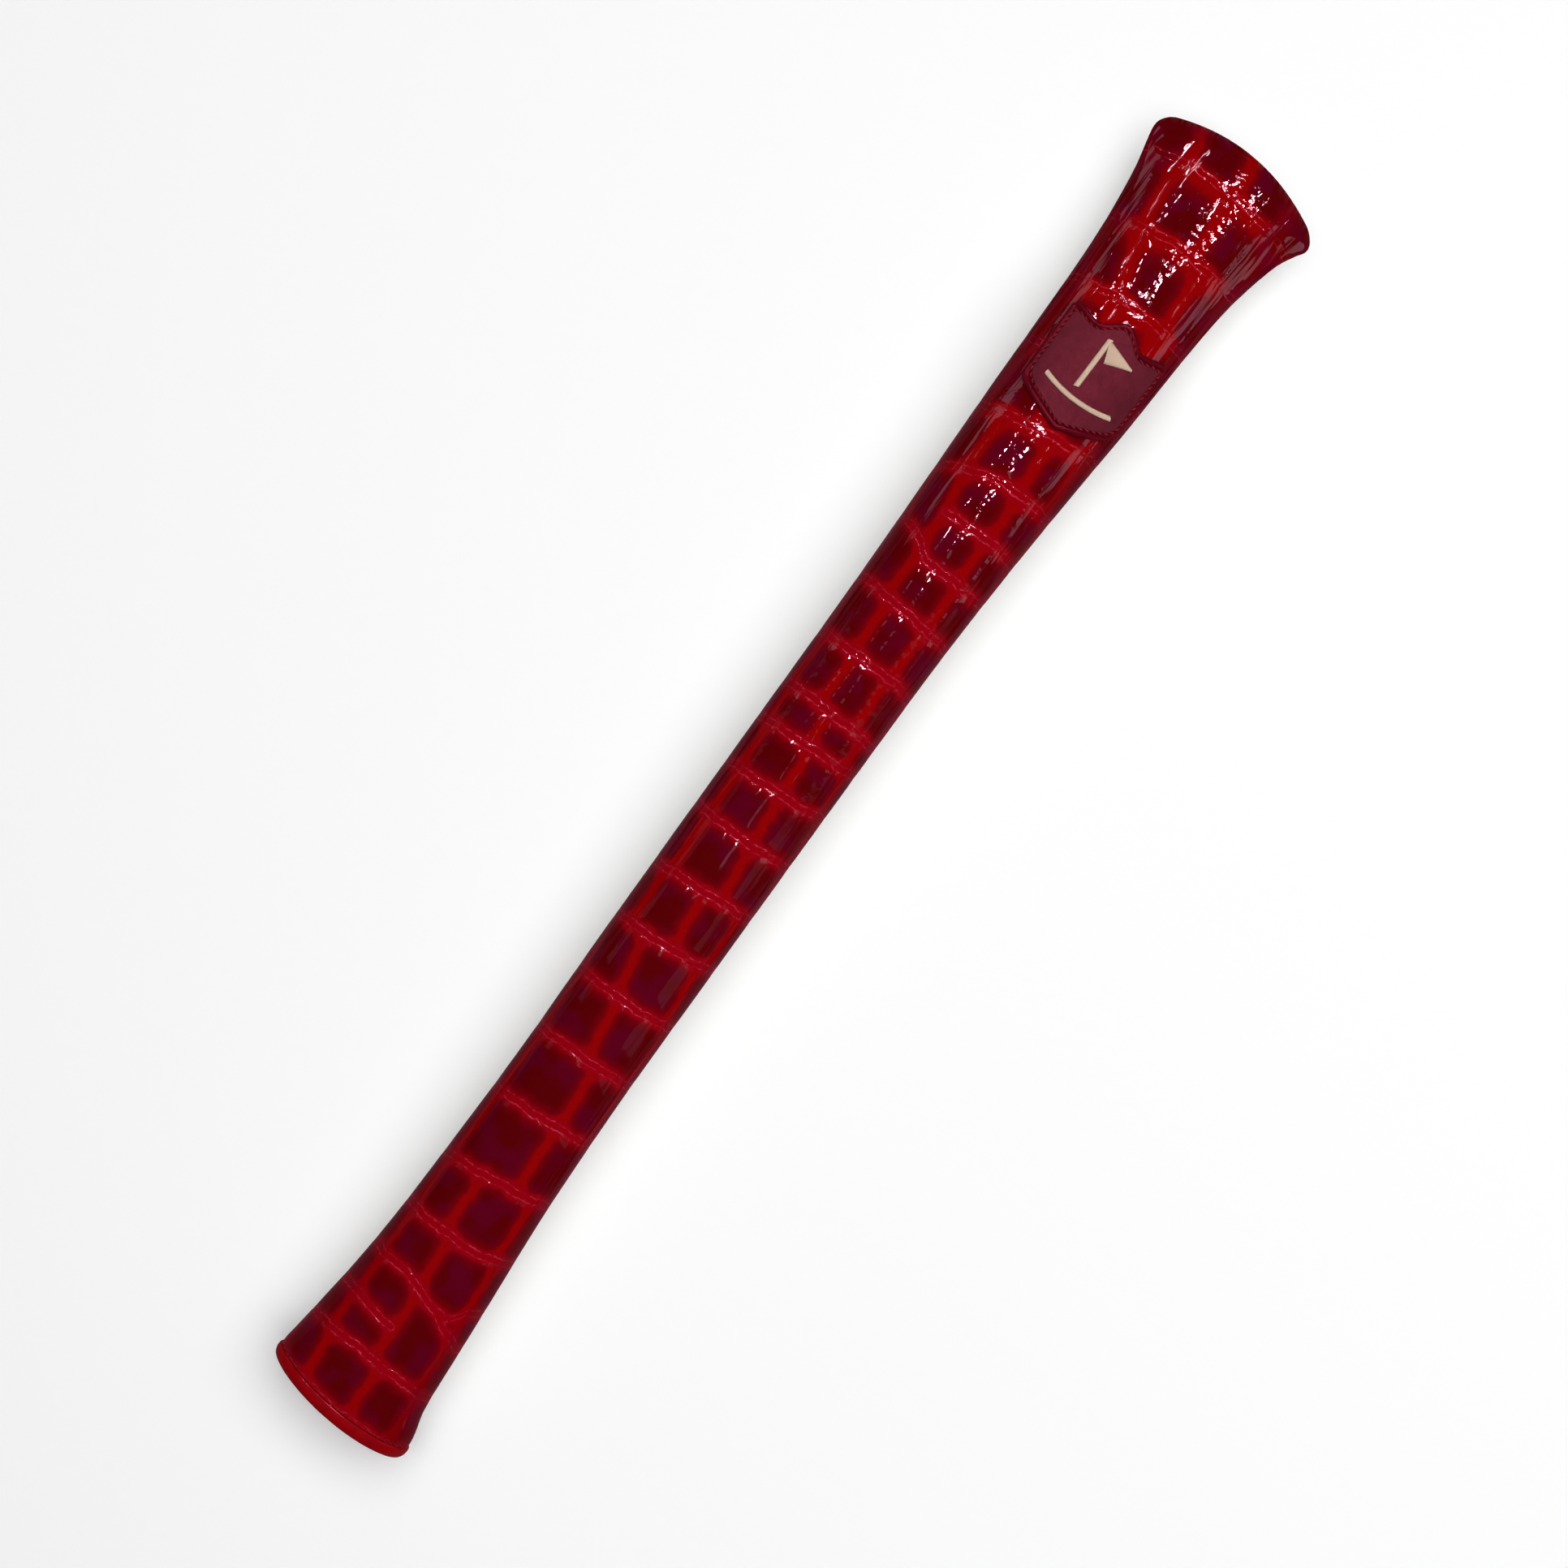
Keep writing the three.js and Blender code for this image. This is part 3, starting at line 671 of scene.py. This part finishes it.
def wavering(value, number, depth, phase):
    """How far a groove strays at a place along it; each groove has a number of its own."""
    turn = phase * number
    long_wave = np.sin(value / WAVER["long"] + turn)
    short_wave = np.sin(value / WAVER["short"] + WAVER["short_phase"] * turn)
    share = WAVER["short_share"]
    return depth * (long_wave + share * short_wave) / (1 + share)


def along_grooves(grooves):
    """Each groove along the cover, as its (station, side) at the crown end and at the mouth end."""
    made = []
    crown_end = curve(((-SHOULDER, LENGTH), (SHOULDER, LENGTH)))
    for row, (_, between) in enumerate(ROWS):
        upper = grooves[row - 1][0] if row else crown_end
        lower = grooves[row][0]
        made += [((upper(a), a), (lower(b), b)) for a, b in between]
    # Rows that go on round the back get more, up to its seam
    for sign in (-1, 1):
        upper, outer_top = crown_end, None
        for row, (_, between) in enumerate(ROWS):
            outermost = max(between, key=lambda sides: sign * sides[0])
            outer_top = outermost[0] if outer_top is None else outer_top
            lower, start, end = grooves[row]
            if not np.isinf(end if sign > 0 else start):
                continue
            station = float(lower(outer_top))
            half_round = section_travel(station)[1][0, -1]
            drift = SCALE_DRIFT["reach"] * math.sin(SCALE_DRIFT["turn"] * row)
            step = 1
            while sign * outer_top + SCALE_WIDTH * step + drift < half_round - SEAM_MARGIN:
                a = outer_top + sign * (SCALE_WIDTH * step + drift)
                b = outermost[1] + sign * (SCALE_WIDTH * step + drift)
                made.append(((upper(a), a), (lower(b), b)))
                step += 1
            upper, outer_top = lower, None
    return made


def leather_fields(station, side):
    """Distances from each point to the grooves round it."""
    to_crown = np.full(station.shape, FAR_AWAY)
    to_mouth = np.full(station.shape, FAR_AWAY)
    along = np.full(station.shape, FAR_AWAY)
    grooves = across_grooves()
    for row, (line, start, end) in enumerate(grooves):
        beyond = END_FADE * np.maximum(0, np.maximum(start - side, side - end))
        ahead = line(side) + wavering(side, row, **ACROSS_WAVER) - station
        distance = np.hypot(ahead, beyond)
        to_crown = np.where(ahead >= 0, np.minimum(to_crown, distance), to_crown)
        to_mouth = np.where(ahead < 0, np.minimum(to_mouth, distance), to_mouth)
    for i, ((top, top_side), (bottom, bottom_side)) in enumerate(along_grooves(grooves)):
        share = np.clip((top - station) / (top - bottom), 0, 1)
        line = lerp(top_side, bottom_side, share) + wavering(station, i, **ALONG_WAVER)
        beyond = np.maximum(0, np.maximum(station - top, bottom - station))
        distance = np.hypot(side - line, beyond)
        nearer = distance < np.abs(along)
        along = np.where(nearer, np.where(side >= line, distance, -distance), along)
    return to_crown, to_mouth, along


def brushed_share(distance, reach, crown):
    (start, soft), (crown_start, crown_soft) = reach
    return np.clip((distance - lerp(start, crown_start, crown)) / lerp(soft, crown_soft, crown), 0, 1)


def leather_shape():
    body = np.linspace(LEATHER_START, LENGTH - CROWN_EDGE, LEATHER_STATIONS)
    edge = LENGTH - CROWN_EDGE * (1 - np.sin(np.linspace(0, 1, CROWN_EDGE_STEPS + 1)[1:] * np.pi / 2))
    stations = np.concatenate([body, edge])
    turns, travelled = section_travel(stations)
    share = np.arange(LEATHER_COLUMNS) / LEATHER_COLUMNS * 2 - 1
    side = share * travelled[:, -1:]
    turned = np.array([np.interp(np.abs(a), t, turns) for a, t in zip(side, travelled)])
    station = np.broadcast_to(stations[:, None], side.shape)

    to_crown, to_mouth, along = leather_fields(station, side)
    across = np.minimum(to_crown, to_mouth)
    crown = smooth(station, *CROWN_LOOK)
    up_down = np.minimum(
        brushed_share(to_crown, BRUSH_CROWN_END, crown), brushed_share(to_mouth, BRUSH_MOUTH_END, crown)
    )
    sideways = brushed_share(np.abs(along), BRUSH_SIDES, crown)
    brushed = 1 - np.minimum(1, np.hypot(1 - up_down, 1 - sideways))

    across_depth = ACROSS_GROOVE["depth"] * np.exp(-((across / ACROSS_GROOVE["reach"]) ** 2))
    along_depth = ALONG_GROOVE["depth"] * np.exp(-((along / ALONG_GROOVE["reach"]) ** 2))
    depth = PLATEAU + np.maximum(across_depth, along_depth)
    depth += CREASE["depth"] * np.exp(-(((across - CREASE["middle"]) / CREASE["reach"]) ** 2))
    nearest = np.minimum(across, np.abs(along))
    depth += DOME["depth"] * np.exp(-nearest / DOME["reach"])
    rolling = np.sin(station / ROLLING["along"] * 2 * np.pi + side / ROLLING["across"])
    rolling *= np.sin(side / ROLLING["across"] + ROLLING["shift"])
    depth += ROLLING["depth"] * (1 + rolling) / 2
    from_seam = travelled[:, -1:] - np.abs(side)
    seam_fade = smooth(BACK_SEAM["end"] - station, 0, BACK_SEAM["fade"])
    depth += BACK_SEAM["depth"] * seam_fade * np.exp(-((from_seam / BACK_SEAM["half_width"]) ** 2))

    edge_on = np.exp(-(((turned - EDGE_TURN) / OUTLINE["spread"]) ** 2))
    depth = lerp(depth, OUTLINE["depth"], OUTLINE["share"] * edge_on)

    points = place(station, TOP_LINE + np.sign(side) * turned, depth)
    middle = (front_height(station) + back_height(station)) / 2
    rounding = np.clip((station - (LENGTH - CROWN_EDGE)) / CROWN_EDGE, 0, 1)
    points[..., 2] = middle + (points[..., 2] - middle) * np.sqrt(np.maximum(0.0, 1 - rounding**2))
    points[..., 2] = np.maximum(points[..., 2], 0.0)

    return Shape().add(
        points, grid_faces(*side.shape, closed=True), side=side, station=station, across=across,
        along=along, brushed=brushed, crown=crown,
    )


leather = make_piece(
    "crocodile_leather", leather_shape(), patent_leather(), "patent_leather", "leather_sleeve"
)
leather.visible_diffuse = False  # no red glow on the paper
weld = leather.modifiers.new("crown_edge", "WELD")
weld.merge_threshold = CROWN_WELD * MM

# ---- Hem round the mouth ----

HEM_PROFILE = (
    (3.1, 0.35), (3.0, 0.55), (2.5, 0.7), (1.7, 0.78), (0.9, 0.65), (0.3, 0.3),
    (0.0, -0.4), (-0.05, -1.6), (0.1, -2.5), (0.8, -3.1), (2.2, -3.25), (4.2, -3.2), (4.4, -2.6),
)
HEM_RINGS = 240
HEM_FINENESS = 4
HEM_PUCKER = {"height": 0.04, "turn": 0.5, "shift": 1.0}
HEM_THREAD = {"station": 3.5, "height": 0.12, "points": 300}
HEM_STITCH = {"pitch": 1.9, "length": 1.2, "radius": 0.13, "rise": 0.06}

# Every stitch: points along it, and how far its ends dip (in radii) and thin out
STITCH_EASE = np.linspace(-1, 1, 7)
STITCH_DIP = 2.2
STITCH_TAPER = 0.45


def hem_shape():
    """A rolled strip round the lip, from (station, height over the leather's face) points."""
    share = np.arange(HEM_RINGS) / HEM_RINGS * 2 - 1
    half_round = section_travel(0.0)[1][0, -1]
    fine = HEM_FINENESS * len(HEM_PROFILE)
    along = np.arange(fine) / HEM_FINENESS
    loop = HEM_PROFILE + HEM_PROFILE[:1]
    station = curve(tuple(enumerate(s for s, _ in loop)))(along)
    height = curve(tuple(enumerate(h for _, h in loop)))(along)
    pucker_turn = share * half_round * HEM_PUCKER["turn"] + HEM_PUCKER["shift"]
    pucker = HEM_PUCKER["height"] * np.sin(pucker_turn)
    grid_station = np.broadcast_to(station, (HEM_RINGS, fine))
    grid_side = np.broadcast_to((share * half_round)[:, None], (HEM_RINGS, fine))
    raised = height + pucker[:, None] * (height > 0)
    points = place_round(grid_station, grid_side, -raised)
    return Shape().add(points, grid_faces(HEM_RINGS, fine, closed=True, ring=True))


def stitches_shape(path, path_height, pitch, length, radius, rise, slant=0.0):
    """Single stitches along a path, each a short arched thread."""
    travelled = path_travel(path)
    count = int(travelled[-1] / pitch)
    shape = Shape()
    for i in range(count):
        middle = (i + 0.5) * travelled[-1] / count
        at = middle + STITCH_EASE * length / 2
        station = np.interp(at, travelled, path[:, 0])
        side = np.interp(at, travelled, path[:, 1])
        direction = np.array([station[-1] - station[0], side[-1] - side[0]])
        direction /= np.linalg.norm(direction)
        station = station - slant * STITCH_EASE * direction[1]
        side = side + slant * STITCH_EASE * direction[0]
        arch = path_height + rise * (1 - STITCH_EASE**2) - STITCH_DIP * radius * STITCH_EASE**6
        shape.add_tube(place_round(station, side, -arch), radius * (1 - STITCH_TAPER * STITCH_EASE**4))
    return shape


red_thread = thread(
    "red_thread", tone=colour(0.36, 0.004, 0.014), shade=colour(0.16, 0.002, 0.006), twist=3.0, sheen=0.0
)
hem_leather = smooth_leather(
    "hem_leather", tone=colour(0.26, 0.0008, 0.003), shade=colour(0.20, 0.0008, 0.003), roughness=0.16,
    pores=2.2, tint=PATCH_TINT, grain=0.2,
)
make_piece("mouth_hem", hem_shape(), hem_leather, "hem_leather", "mouth_binding")
half_round = section_travel(HEM_THREAD["station"])[1][0, -1]
hem_sides = np.linspace(-half_round, half_round, HEM_THREAD["points"])
hem_path = path_of(HEM_THREAD["station"], hem_sides)
mouth_stitches = stitches_shape(hem_path, HEM_THREAD["height"], **HEM_STITCH)
make_piece("mouth_stitches", mouth_stitches, red_thread, "red_thread", "mouth_stitching")

# ---- Back seam ----

BACK_STITCH = {
    "pitch": 3.0, "length": 2.0, "radius": 0.14, "height": 0.25, "rise": 0.05, "dip": 0.3, "taper": 0.4,
}
BACK_STITCH_END = 290


def back_stitches_shape():
    """Stitches in the back seam's hollow, at heights above the floor."""
    shape = Shape()
    station = BACK_SEAM["start"] + BACK_STITCH["pitch"] / 2
    while station < BACK_STITCH_END:
        line = place(station + STITCH_EASE * BACK_STITCH["length"] / 2, BACK_LINE, 0)
        arch = BACK_STITCH["rise"] * (1 - STITCH_EASE**2)
        line[:, 2] = BACK_STITCH["height"] - arch + BACK_STITCH["dip"] * STITCH_EASE**6
        shape.add_tube(line, BACK_STITCH["radius"] * (1 - BACK_STITCH["taper"] * STITCH_EASE**4))
        station += BACK_STITCH["pitch"]
    return shape


make_piece("back_seam_stitches", back_stitches_shape(), red_thread, "red_thread", "back_seam_thread")

# ---- Lining ----

LINING = {"start": 2.2, "end": 342, "face": 2.6, "thickness": 0.7, "hem_face": 1.4, "rise": (6, 13)}
TUFTS = {"height": 0.12, "round": (3.1, 4.7), "along": (2.3, 1.7)}
LINING_STATIONS = 300
LINING_COLUMNS = 120


def lining_shape():
    """A closed double wall, with the pile on its inner side."""
    stations = np.linspace(LINING["start"], LINING["end"], LINING_STATIONS)[:, None]
    degrees = np.arange(LINING_COLUMNS) * 360 / LINING_COLUMNS
    outside = lerp(LINING["hem_face"], LINING["face"], smooth(stations, *LINING["rise"]))
    (round_a, round_b), (along_a, along_b) = TUFTS["round"], TUFTS["along"]
    tufts = TUFTS["height"] * np.sin(degrees / round_a + stations * along_a)
    tufts = tufts * np.sin(degrees / round_b - stations * along_b)
    outer = place(stations, degrees, outside)
    inner = place(stations, degrees, outside + LINING["thickness"] + tufts)
    points = np.concatenate([outer, inner[::-1]])
    return Shape().add(points, grid_faces(len(points), LINING_COLUMNS, closed=True, ring=True))


make_piece("plush_lining", lining_shape(), plush(), "lining_fabric", "lining_sleeve")

# ---- Shield patch ----

PATCH_MIDDLE = 1.8
PATCH_WIDTH = 26.6
PATCH_PEAK = 305.6
PATCH_SCALLOP = 3.4
PATCH_SCALLOP_PITCH = 11.9
PATCH_EAR = 0.45
PATCH_POINT = 276.3
PATCH_POINT_RISE = 5.6
PATCH_POINT_CURVE = 1.2
PATCH_CORNER = 2.4
FACE_INSET = 1.75
STITCH_INSET = 1.75
RIM = {"bottom": 0.1, "foot": 0.15, "top": 1.45, "width": 1.5, "inner": 0.95}
FACE = {"bottom": 0.9, "foot": 0.1, "top": 1.55, "round": 0.45}
PATCH_THREAD_HEIGHT = 1.5
PATCH_STITCH = {"pitch": 1.5, "length": 1.0, "radius": 0.2, "rise": 0.12, "slant": 0.22}
PATCH_COLUMNS = 110
PATCH_ROWS = 90
PATCH_PATH_STEPS = 160


def patch_edges(offset, inset):
    """The patch's bottom and top stations, at a distance from its middle."""
    half = PATCH_WIDTH / 2 - inset
    side = np.abs(offset)
    swing = (1 - np.cos(2 * np.pi * side / PATCH_SCALLOP_PITCH)) / 2
    wave = np.where(side < PATCH_SCALLOP_PITCH / 2, swing, 1 - PATCH_EAR * (1 - swing))
    past = np.clip(side - (half - PATCH_CORNER), 0, PATCH_CORNER)
    corner = PATCH_CORNER - np.sqrt(PATCH_CORNER**2 - past**2)
    point = PATCH_POINT + PATCH_POINT_RISE * (side / half) ** PATCH_POINT_CURVE
    return point + inset + corner, PATCH_PEAK - PATCH_SCALLOP * wave - inset - corner / 2


def sheet_shape(inset, profile, bottom):
    """A thin closed sheet on the leather, whose top is at profile(distance from its edge)."""
    columns, rows = PATCH_COLUMNS, PATCH_ROWS
    half = PATCH_WIDTH / 2 - inset
    offset = -half * np.cos(np.linspace(0, np.pi, columns))[:, None]
    low, high = patch_edges(offset, inset)
    share = (1 - np.cos(np.linspace(0, np.pi, rows))) / 2
    station = lerp(low, high, share)
    outline = np.concatenate([
        path_of(low[:, 0], offset[:, 0]), path_of(high[:, 0], offset[:, 0]),
        path_of(station[0], -half), path_of(station[-1], half),
    ])
    here = path_of(station, offset).reshape(-1, 1, 2)
    from_edge = np.linalg.norm(here - outline[None], axis=-1).min(axis=1).reshape(station.shape)
    side = PATCH_MIDDLE + np.broadcast_to(offset, station.shape)
    top = place_round(station, side, -profile(from_edge))
    under = place_round(station, side, -bottom)
    faces = grid_faces(columns, rows)
    total = columns * rows
    border = [c * rows for c in range(columns)] + [(columns - 1) * rows + r for r in range(1, rows)]
    border += [c * rows + rows - 1 for c in range(columns - 2, -1, -1)] + list(range(rows - 2, 0, -1))
    walls = [[a, b, b + total, a + total] for a, b in zip(border, border[1:] + border[:1])]
    faces = faces.tolist() + (faces[:, ::-1] + total).tolist() + walls
    return Shape().add(np.concatenate([top, under]), faces)


def rim_profile(distance):
    bead = np.sqrt(np.clip(1 - ((distance - RIM["width"] / 2) / (RIM["width"] / 2)) ** 2, 0, 1))
    inside = distance > RIM["width"] / 2
    low = np.where(inside, RIM["inner"], RIM["bottom"] + RIM["foot"])
    return low + (RIM["top"] - low) * bead


def face_profile(distance):
    rounding = np.sqrt(np.clip(1 - (1 - distance / FACE["round"]) ** 2, 0, 1))
    rounding = np.where(distance > FACE["round"], 1.0, rounding)
    foot = FACE["bottom"] + FACE["foot"]
    return foot + (FACE["top"] - foot) * rounding


def patch_outline(inset):
    """A closed path round the patch."""
    half = PATCH_WIDTH / 2 - inset
    offset = -half * np.cos(np.linspace(0, np.pi, PATCH_PATH_STEPS))
    low, high = patch_edges(offset, inset)
    up = path_of(high, offset + PATCH_MIDDLE)
    back = path_of(low, offset + PATCH_MIDDLE)[::-1]
    return np.concatenate([up, back, up[:1]])


rim_leather = smooth_leather(
    "patch_rim_leather", tone=colour(0.100, 0.001, 0.006), shade=colour(0.068, 0.001, 0.005),
    roughness=0.27, pores=2.4, tint=PATCH_TINT, grain=0.4, gloss=0.1,
)
patch_leather = smooth_leather(
    "patch_face_leather", tone=colour(0.092, 0.009, 0.018), shade=colour(0.063, 0.006, 0.012),
    roughness=0.62, pores=2.0, tint=PATCH_TINT, grain=1.0,
)
patch_rim = sheet_shape(0, rim_profile, RIM["bottom"])
make_piece("patch_rim", patch_rim, rim_leather, "rim_leather", "patch_backing")
patch_panel = sheet_shape(FACE_INSET, face_profile, FACE["bottom"])
make_piece("patch_panel", patch_panel, patch_leather, "patch_leather", "patch_face")
patch_stitches = stitches_shape(patch_outline(STITCH_INSET), PATCH_THREAD_HEIGHT, **PATCH_STITCH)
make_piece("patch_stitches", patch_stitches, red_thread, "red_thread", "patch_stitching")

# ---- Embroidered pin flag ----

SATIN = {
    "pitch": 0.23, "radius": 0.15, "sides": 6, "base": 1.6, "rise": 0.42, "least_rise": 0.5,
    "slant": 0.35,
}
SATIN_EASE = np.linspace(-1, 1, 9)
POLE = {"top": 300, "foot": 287, "side": -1.6, "half": 0.5, "points": 30}
PENNANT = {"start": -0.8, "width": 6.4, "height": 5.2, "tip": 0.06, "points": 30}
GREEN = {"half_width": 8.2, "sag": 1.6, "station": 284.3, "half": 0.52, "points": 40}


def satin_shape(path, half_width):
    """Threads laid side by side across a path, each arched over a padding."""
    half_width = np.broadcast_to(half_width, len(path))
    travelled = path_travel(path)

    def point(at):
        return np.array([np.interp(at, travelled, path[:, 0]), np.interp(at, travelled, path[:, 1])])

    shape = Shape()
    rounding = np.sqrt(np.maximum(0, 1 - SATIN_EASE**2))
    for at in np.arange(SATIN["pitch"] / 2, travelled[-1], SATIN["pitch"]):
        direction = point(min(at + SATIN["pitch"], travelled[-1])) - point(max(at - SATIN["pitch"], 0))
        direction /= np.linalg.norm(direction)
        half = np.interp(at, travelled, half_width)
        across = np.array([-direction[1], direction[0]]) + SATIN["slant"] * direction
        line = point(at) + SATIN_EASE[:, None] * half * across
        rise = SATIN["rise"] * rounding * min(1, SATIN["least_rise"] + half / 2)
        arched = place_round(line[:, 0], line[:, 1] + PATCH_MIDDLE, -(SATIN["base"] + rise))
        shape.add_tube(arched, SATIN["radius"], SATIN["sides"])
    return shape


cream_thread = thread(
    "cream_thread", tone=colour(0.80, 0.60, 0.45), shade=colour(0.60, 0.42, 0.30), twist=2.4, sheen=0.3
)
pole_path = path_of(np.linspace(POLE["foot"], POLE["top"], POLE["points"]), POLE["side"])
pennant_sides = PENNANT["start"] + np.linspace(0, PENNANT["width"], PENNANT["points"])
pennant_path = path_of(POLE["top"] - PENNANT["height"] / 2, pennant_sides)
pennant_half = PENNANT["height"] / 2 * np.linspace(1, PENNANT["tip"], PENNANT["points"])
across = np.linspace(-1, 1, GREEN["points"])
green_path = path_of(GREEN["station"] + GREEN["sag"] * across**2, GREEN["half_width"] * across)
for part, path, half_width in (
    ("pole", pole_path, POLE["half"]),
    ("pennant", pennant_path, pennant_half),
    ("green", green_path, GREEN["half"]),
):
    embroidered = satin_shape(path, half_width)
    make_piece("flag_" + part, embroidered, cream_thread, "cream_thread", "embroidery_" + part)

# ---- Pieces that stay inside ----

for node, material in (("interlining", felt()), ("crown_seam_thread", red_thread)):
    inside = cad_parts[node]
    inside.data.materials.clear()
    inside.data.materials.append(material)

# ---- Floor, light and camera, in metres ----

FLOOR = {
    "half": 20.0, "gap": 0.0002, "tone": colour(0.9, 0.9, 0.9), "roughness": 0.9,
    "glow_span_mm": (300, 1300), "glow": (0.02, 0.95),
}
CAMERA = {
    "along": -1.5 * MM, "across": BOX_MIDDLE_Y * MM, "distance": 0.7426, "turn": -53.91,
    "lens": 75, "sensor": 36,
}
WORLD_BELOW = colour(0.17, 0.06, 0.08)
WORLD_ABOVE = colour(0.008, 0.007, 0.010)
WORLD_ABOVE_FROM = 0.09
BACKDROP = colour(0.95, 0.95, 0.95)

# Lamps that face down, from one (x, y) to another: start, end, height, width and power in watts
SOFT_BOX = ("soft_box", (-0.6, -0.23), (1.0, -0.23), 1.2, 1.95, 26.8)
STRIP_HEIGHT = 1.05
STRIP_WIDTH = 0.012
NEAR_WIDTH = 0.05
STRIPS = (
    ("right_strip", (0.15, -0.01), (2.4, -0.36), STRIP_HEIGHT, STRIP_WIDTH, 25),
    ("crown_strip", (0.24, 0.04), (2.4, -0.26), STRIP_HEIGHT, STRIP_WIDTH, 12),
    ("left_strip", (0.16, 0.32), (2.4, 0.46), STRIP_HEIGHT, STRIP_WIDTH, 25),
    ("near_right_strip", (-0.06, -0.04), (0.15, -0.01), STRIP_HEIGHT, NEAR_WIDTH, 0.034),
    ("near_left_strip", (0.04, 0.30), (0.16, 0.32), STRIP_HEIGHT, NEAR_WIDTH, 0.022),
)
# Lamps that face the origin: place, width, height and power in watts
PANELS = (
    ("right_panel", (0.62, -1.0, 0.6), 1.0, 0.8, 3.6),
    ("left_panel", (0.62, 1.1, 0.5), 1.0, 0.5, 1.8),
    ("middle_right_panel", (-0.03, -1.0, 0.6), 0.3, 0.8, 0.2),
    ("middle_left_panel", (-0.03, 1.1, 0.5), 0.3, 0.5, 0.1),
)


def make_floor():
    """White paper that starts to glow away from the cover, so that its far end stays white."""
    half, height = FLOOR["half"], cad_box[0].z - FLOOR["gap"]
    mesh = bpy.data.meshes.new("floor")
    corners = ((-half, -half), (half, -half), (half, half), (-half, half))
    mesh.from_pydata([(x, y, height) for x, y in corners], [], [(0, 1, 2, 3)])
    floor = make_object("floor", mesh)
    g = Graph("floor_paper")
    reach = g.node("ShaderNodeVectorMath", {0: g.position()}, "Value", operation="LENGTH")
    mesh.materials.append(g.finish(
        Base_Color=FLOOR["tone"], Roughness=FLOOR["roughness"], Specular_IOR_Level=0.0,
        Emission_Color=colour(1.0, 1.0, 1.0),
        Emission_Strength=g.span(reach, *FLOOR["glow_span_mm"], *FLOOR["glow"]),
    ))
    floor.visible_glossy = False


def make_lamp(name, location, rotation, width, height, power):
    data = bpy.data.lights.new(name, "AREA")
    data.shape = "RECTANGLE"
    data.size, data.size_y = width, height
    data.energy = power
    lamp = make_object(name, data)
    lamp.location = location
    lamp.rotation_euler = rotation
    return lamp


def make_level_lamp(name, start, end, height, width, power):
    location = ((start[0] + end[0]) / 2, (start[1] + end[1]) / 2, height)
    rotation = (0, 0, math.atan2(end[1] - start[1], end[0] - start[0]))
    return make_lamp(name, location, rotation, math.dist(start, end), width, power)


def make_panel(name, location, width, height, power):
    rotation = Vector(location).to_track_quat("Z", "Y").to_euler()
    return make_lamp(name, location, rotation, width, height, power)


def make_world():
    """Dark overhead and faintly pink at the horizon in reflections, with a pale backdrop."""
    world = bpy.data.worlds.new("studio")
    bpy.context.scene.world = world
    world.use_nodes = True
    nodes, links = world.node_tree.nodes, world.node_tree.links
    direction = nodes.new("ShaderNodeTexCoord")
    split = nodes.new("ShaderNodeSeparateXYZ")
    ramp = nodes.new("ShaderNodeValToRGB")
    ramp.color_ramp.interpolation = "EASE"
    first, second = ramp.color_ramp.elements
    first.position, first.color = 0.0, WORLD_BELOW
    second.position, second.color = WORLD_ABOVE_FROM, WORLD_ABOVE
    links.new(direction.outputs["Generated"], split.inputs["Vector"])
    links.new(split.outputs["Z"], ramp.inputs["Fac"])
    ray = nodes.new("ShaderNodeLightPath")
    blend = nodes.new("ShaderNodeMix")
    blend.data_type = "RGBA"
    blend.inputs[MIX_B].default_value = BACKDROP
    links.new(ray.outputs["Is Camera Ray"], blend.inputs["Factor"])
    links.new(ramp.outputs["Color"], blend.inputs[MIX_A])
    links.new(blend.outputs[MIX_RESULT], nodes["Background"].inputs["Color"])
    nodes["Background"].inputs["Strength"].default_value = 1.0


def make_camera():
    low, high = cad_box
    height = (low.z + high.z) / 2 + CAMERA["distance"]
    data = bpy.data.cameras.new("camera")
    data.lens = CAMERA["lens"]
    data.sensor_width = CAMERA["sensor"]
    camera = make_object("camera", data)
    camera.location = (CAMERA["along"], CAMERA["across"], height)
    camera.rotation_euler = (0, 0, math.radians(CAMERA["turn"]))
    bpy.context.scene.camera = camera


make_floor()
make_world()
make_camera()
# The soft box isn't mirrored in the gloss, and the strips and panels only show there
make_level_lamp(*SOFT_BOX).visible_glossy = False
for strip in STRIPS:
    make_level_lamp(*strip).visible_diffuse = False
for panel in PANELS:
    make_panel(*panel).visible_diffuse = False
bpy.context.scene.view_settings.view_transform = "Standard"
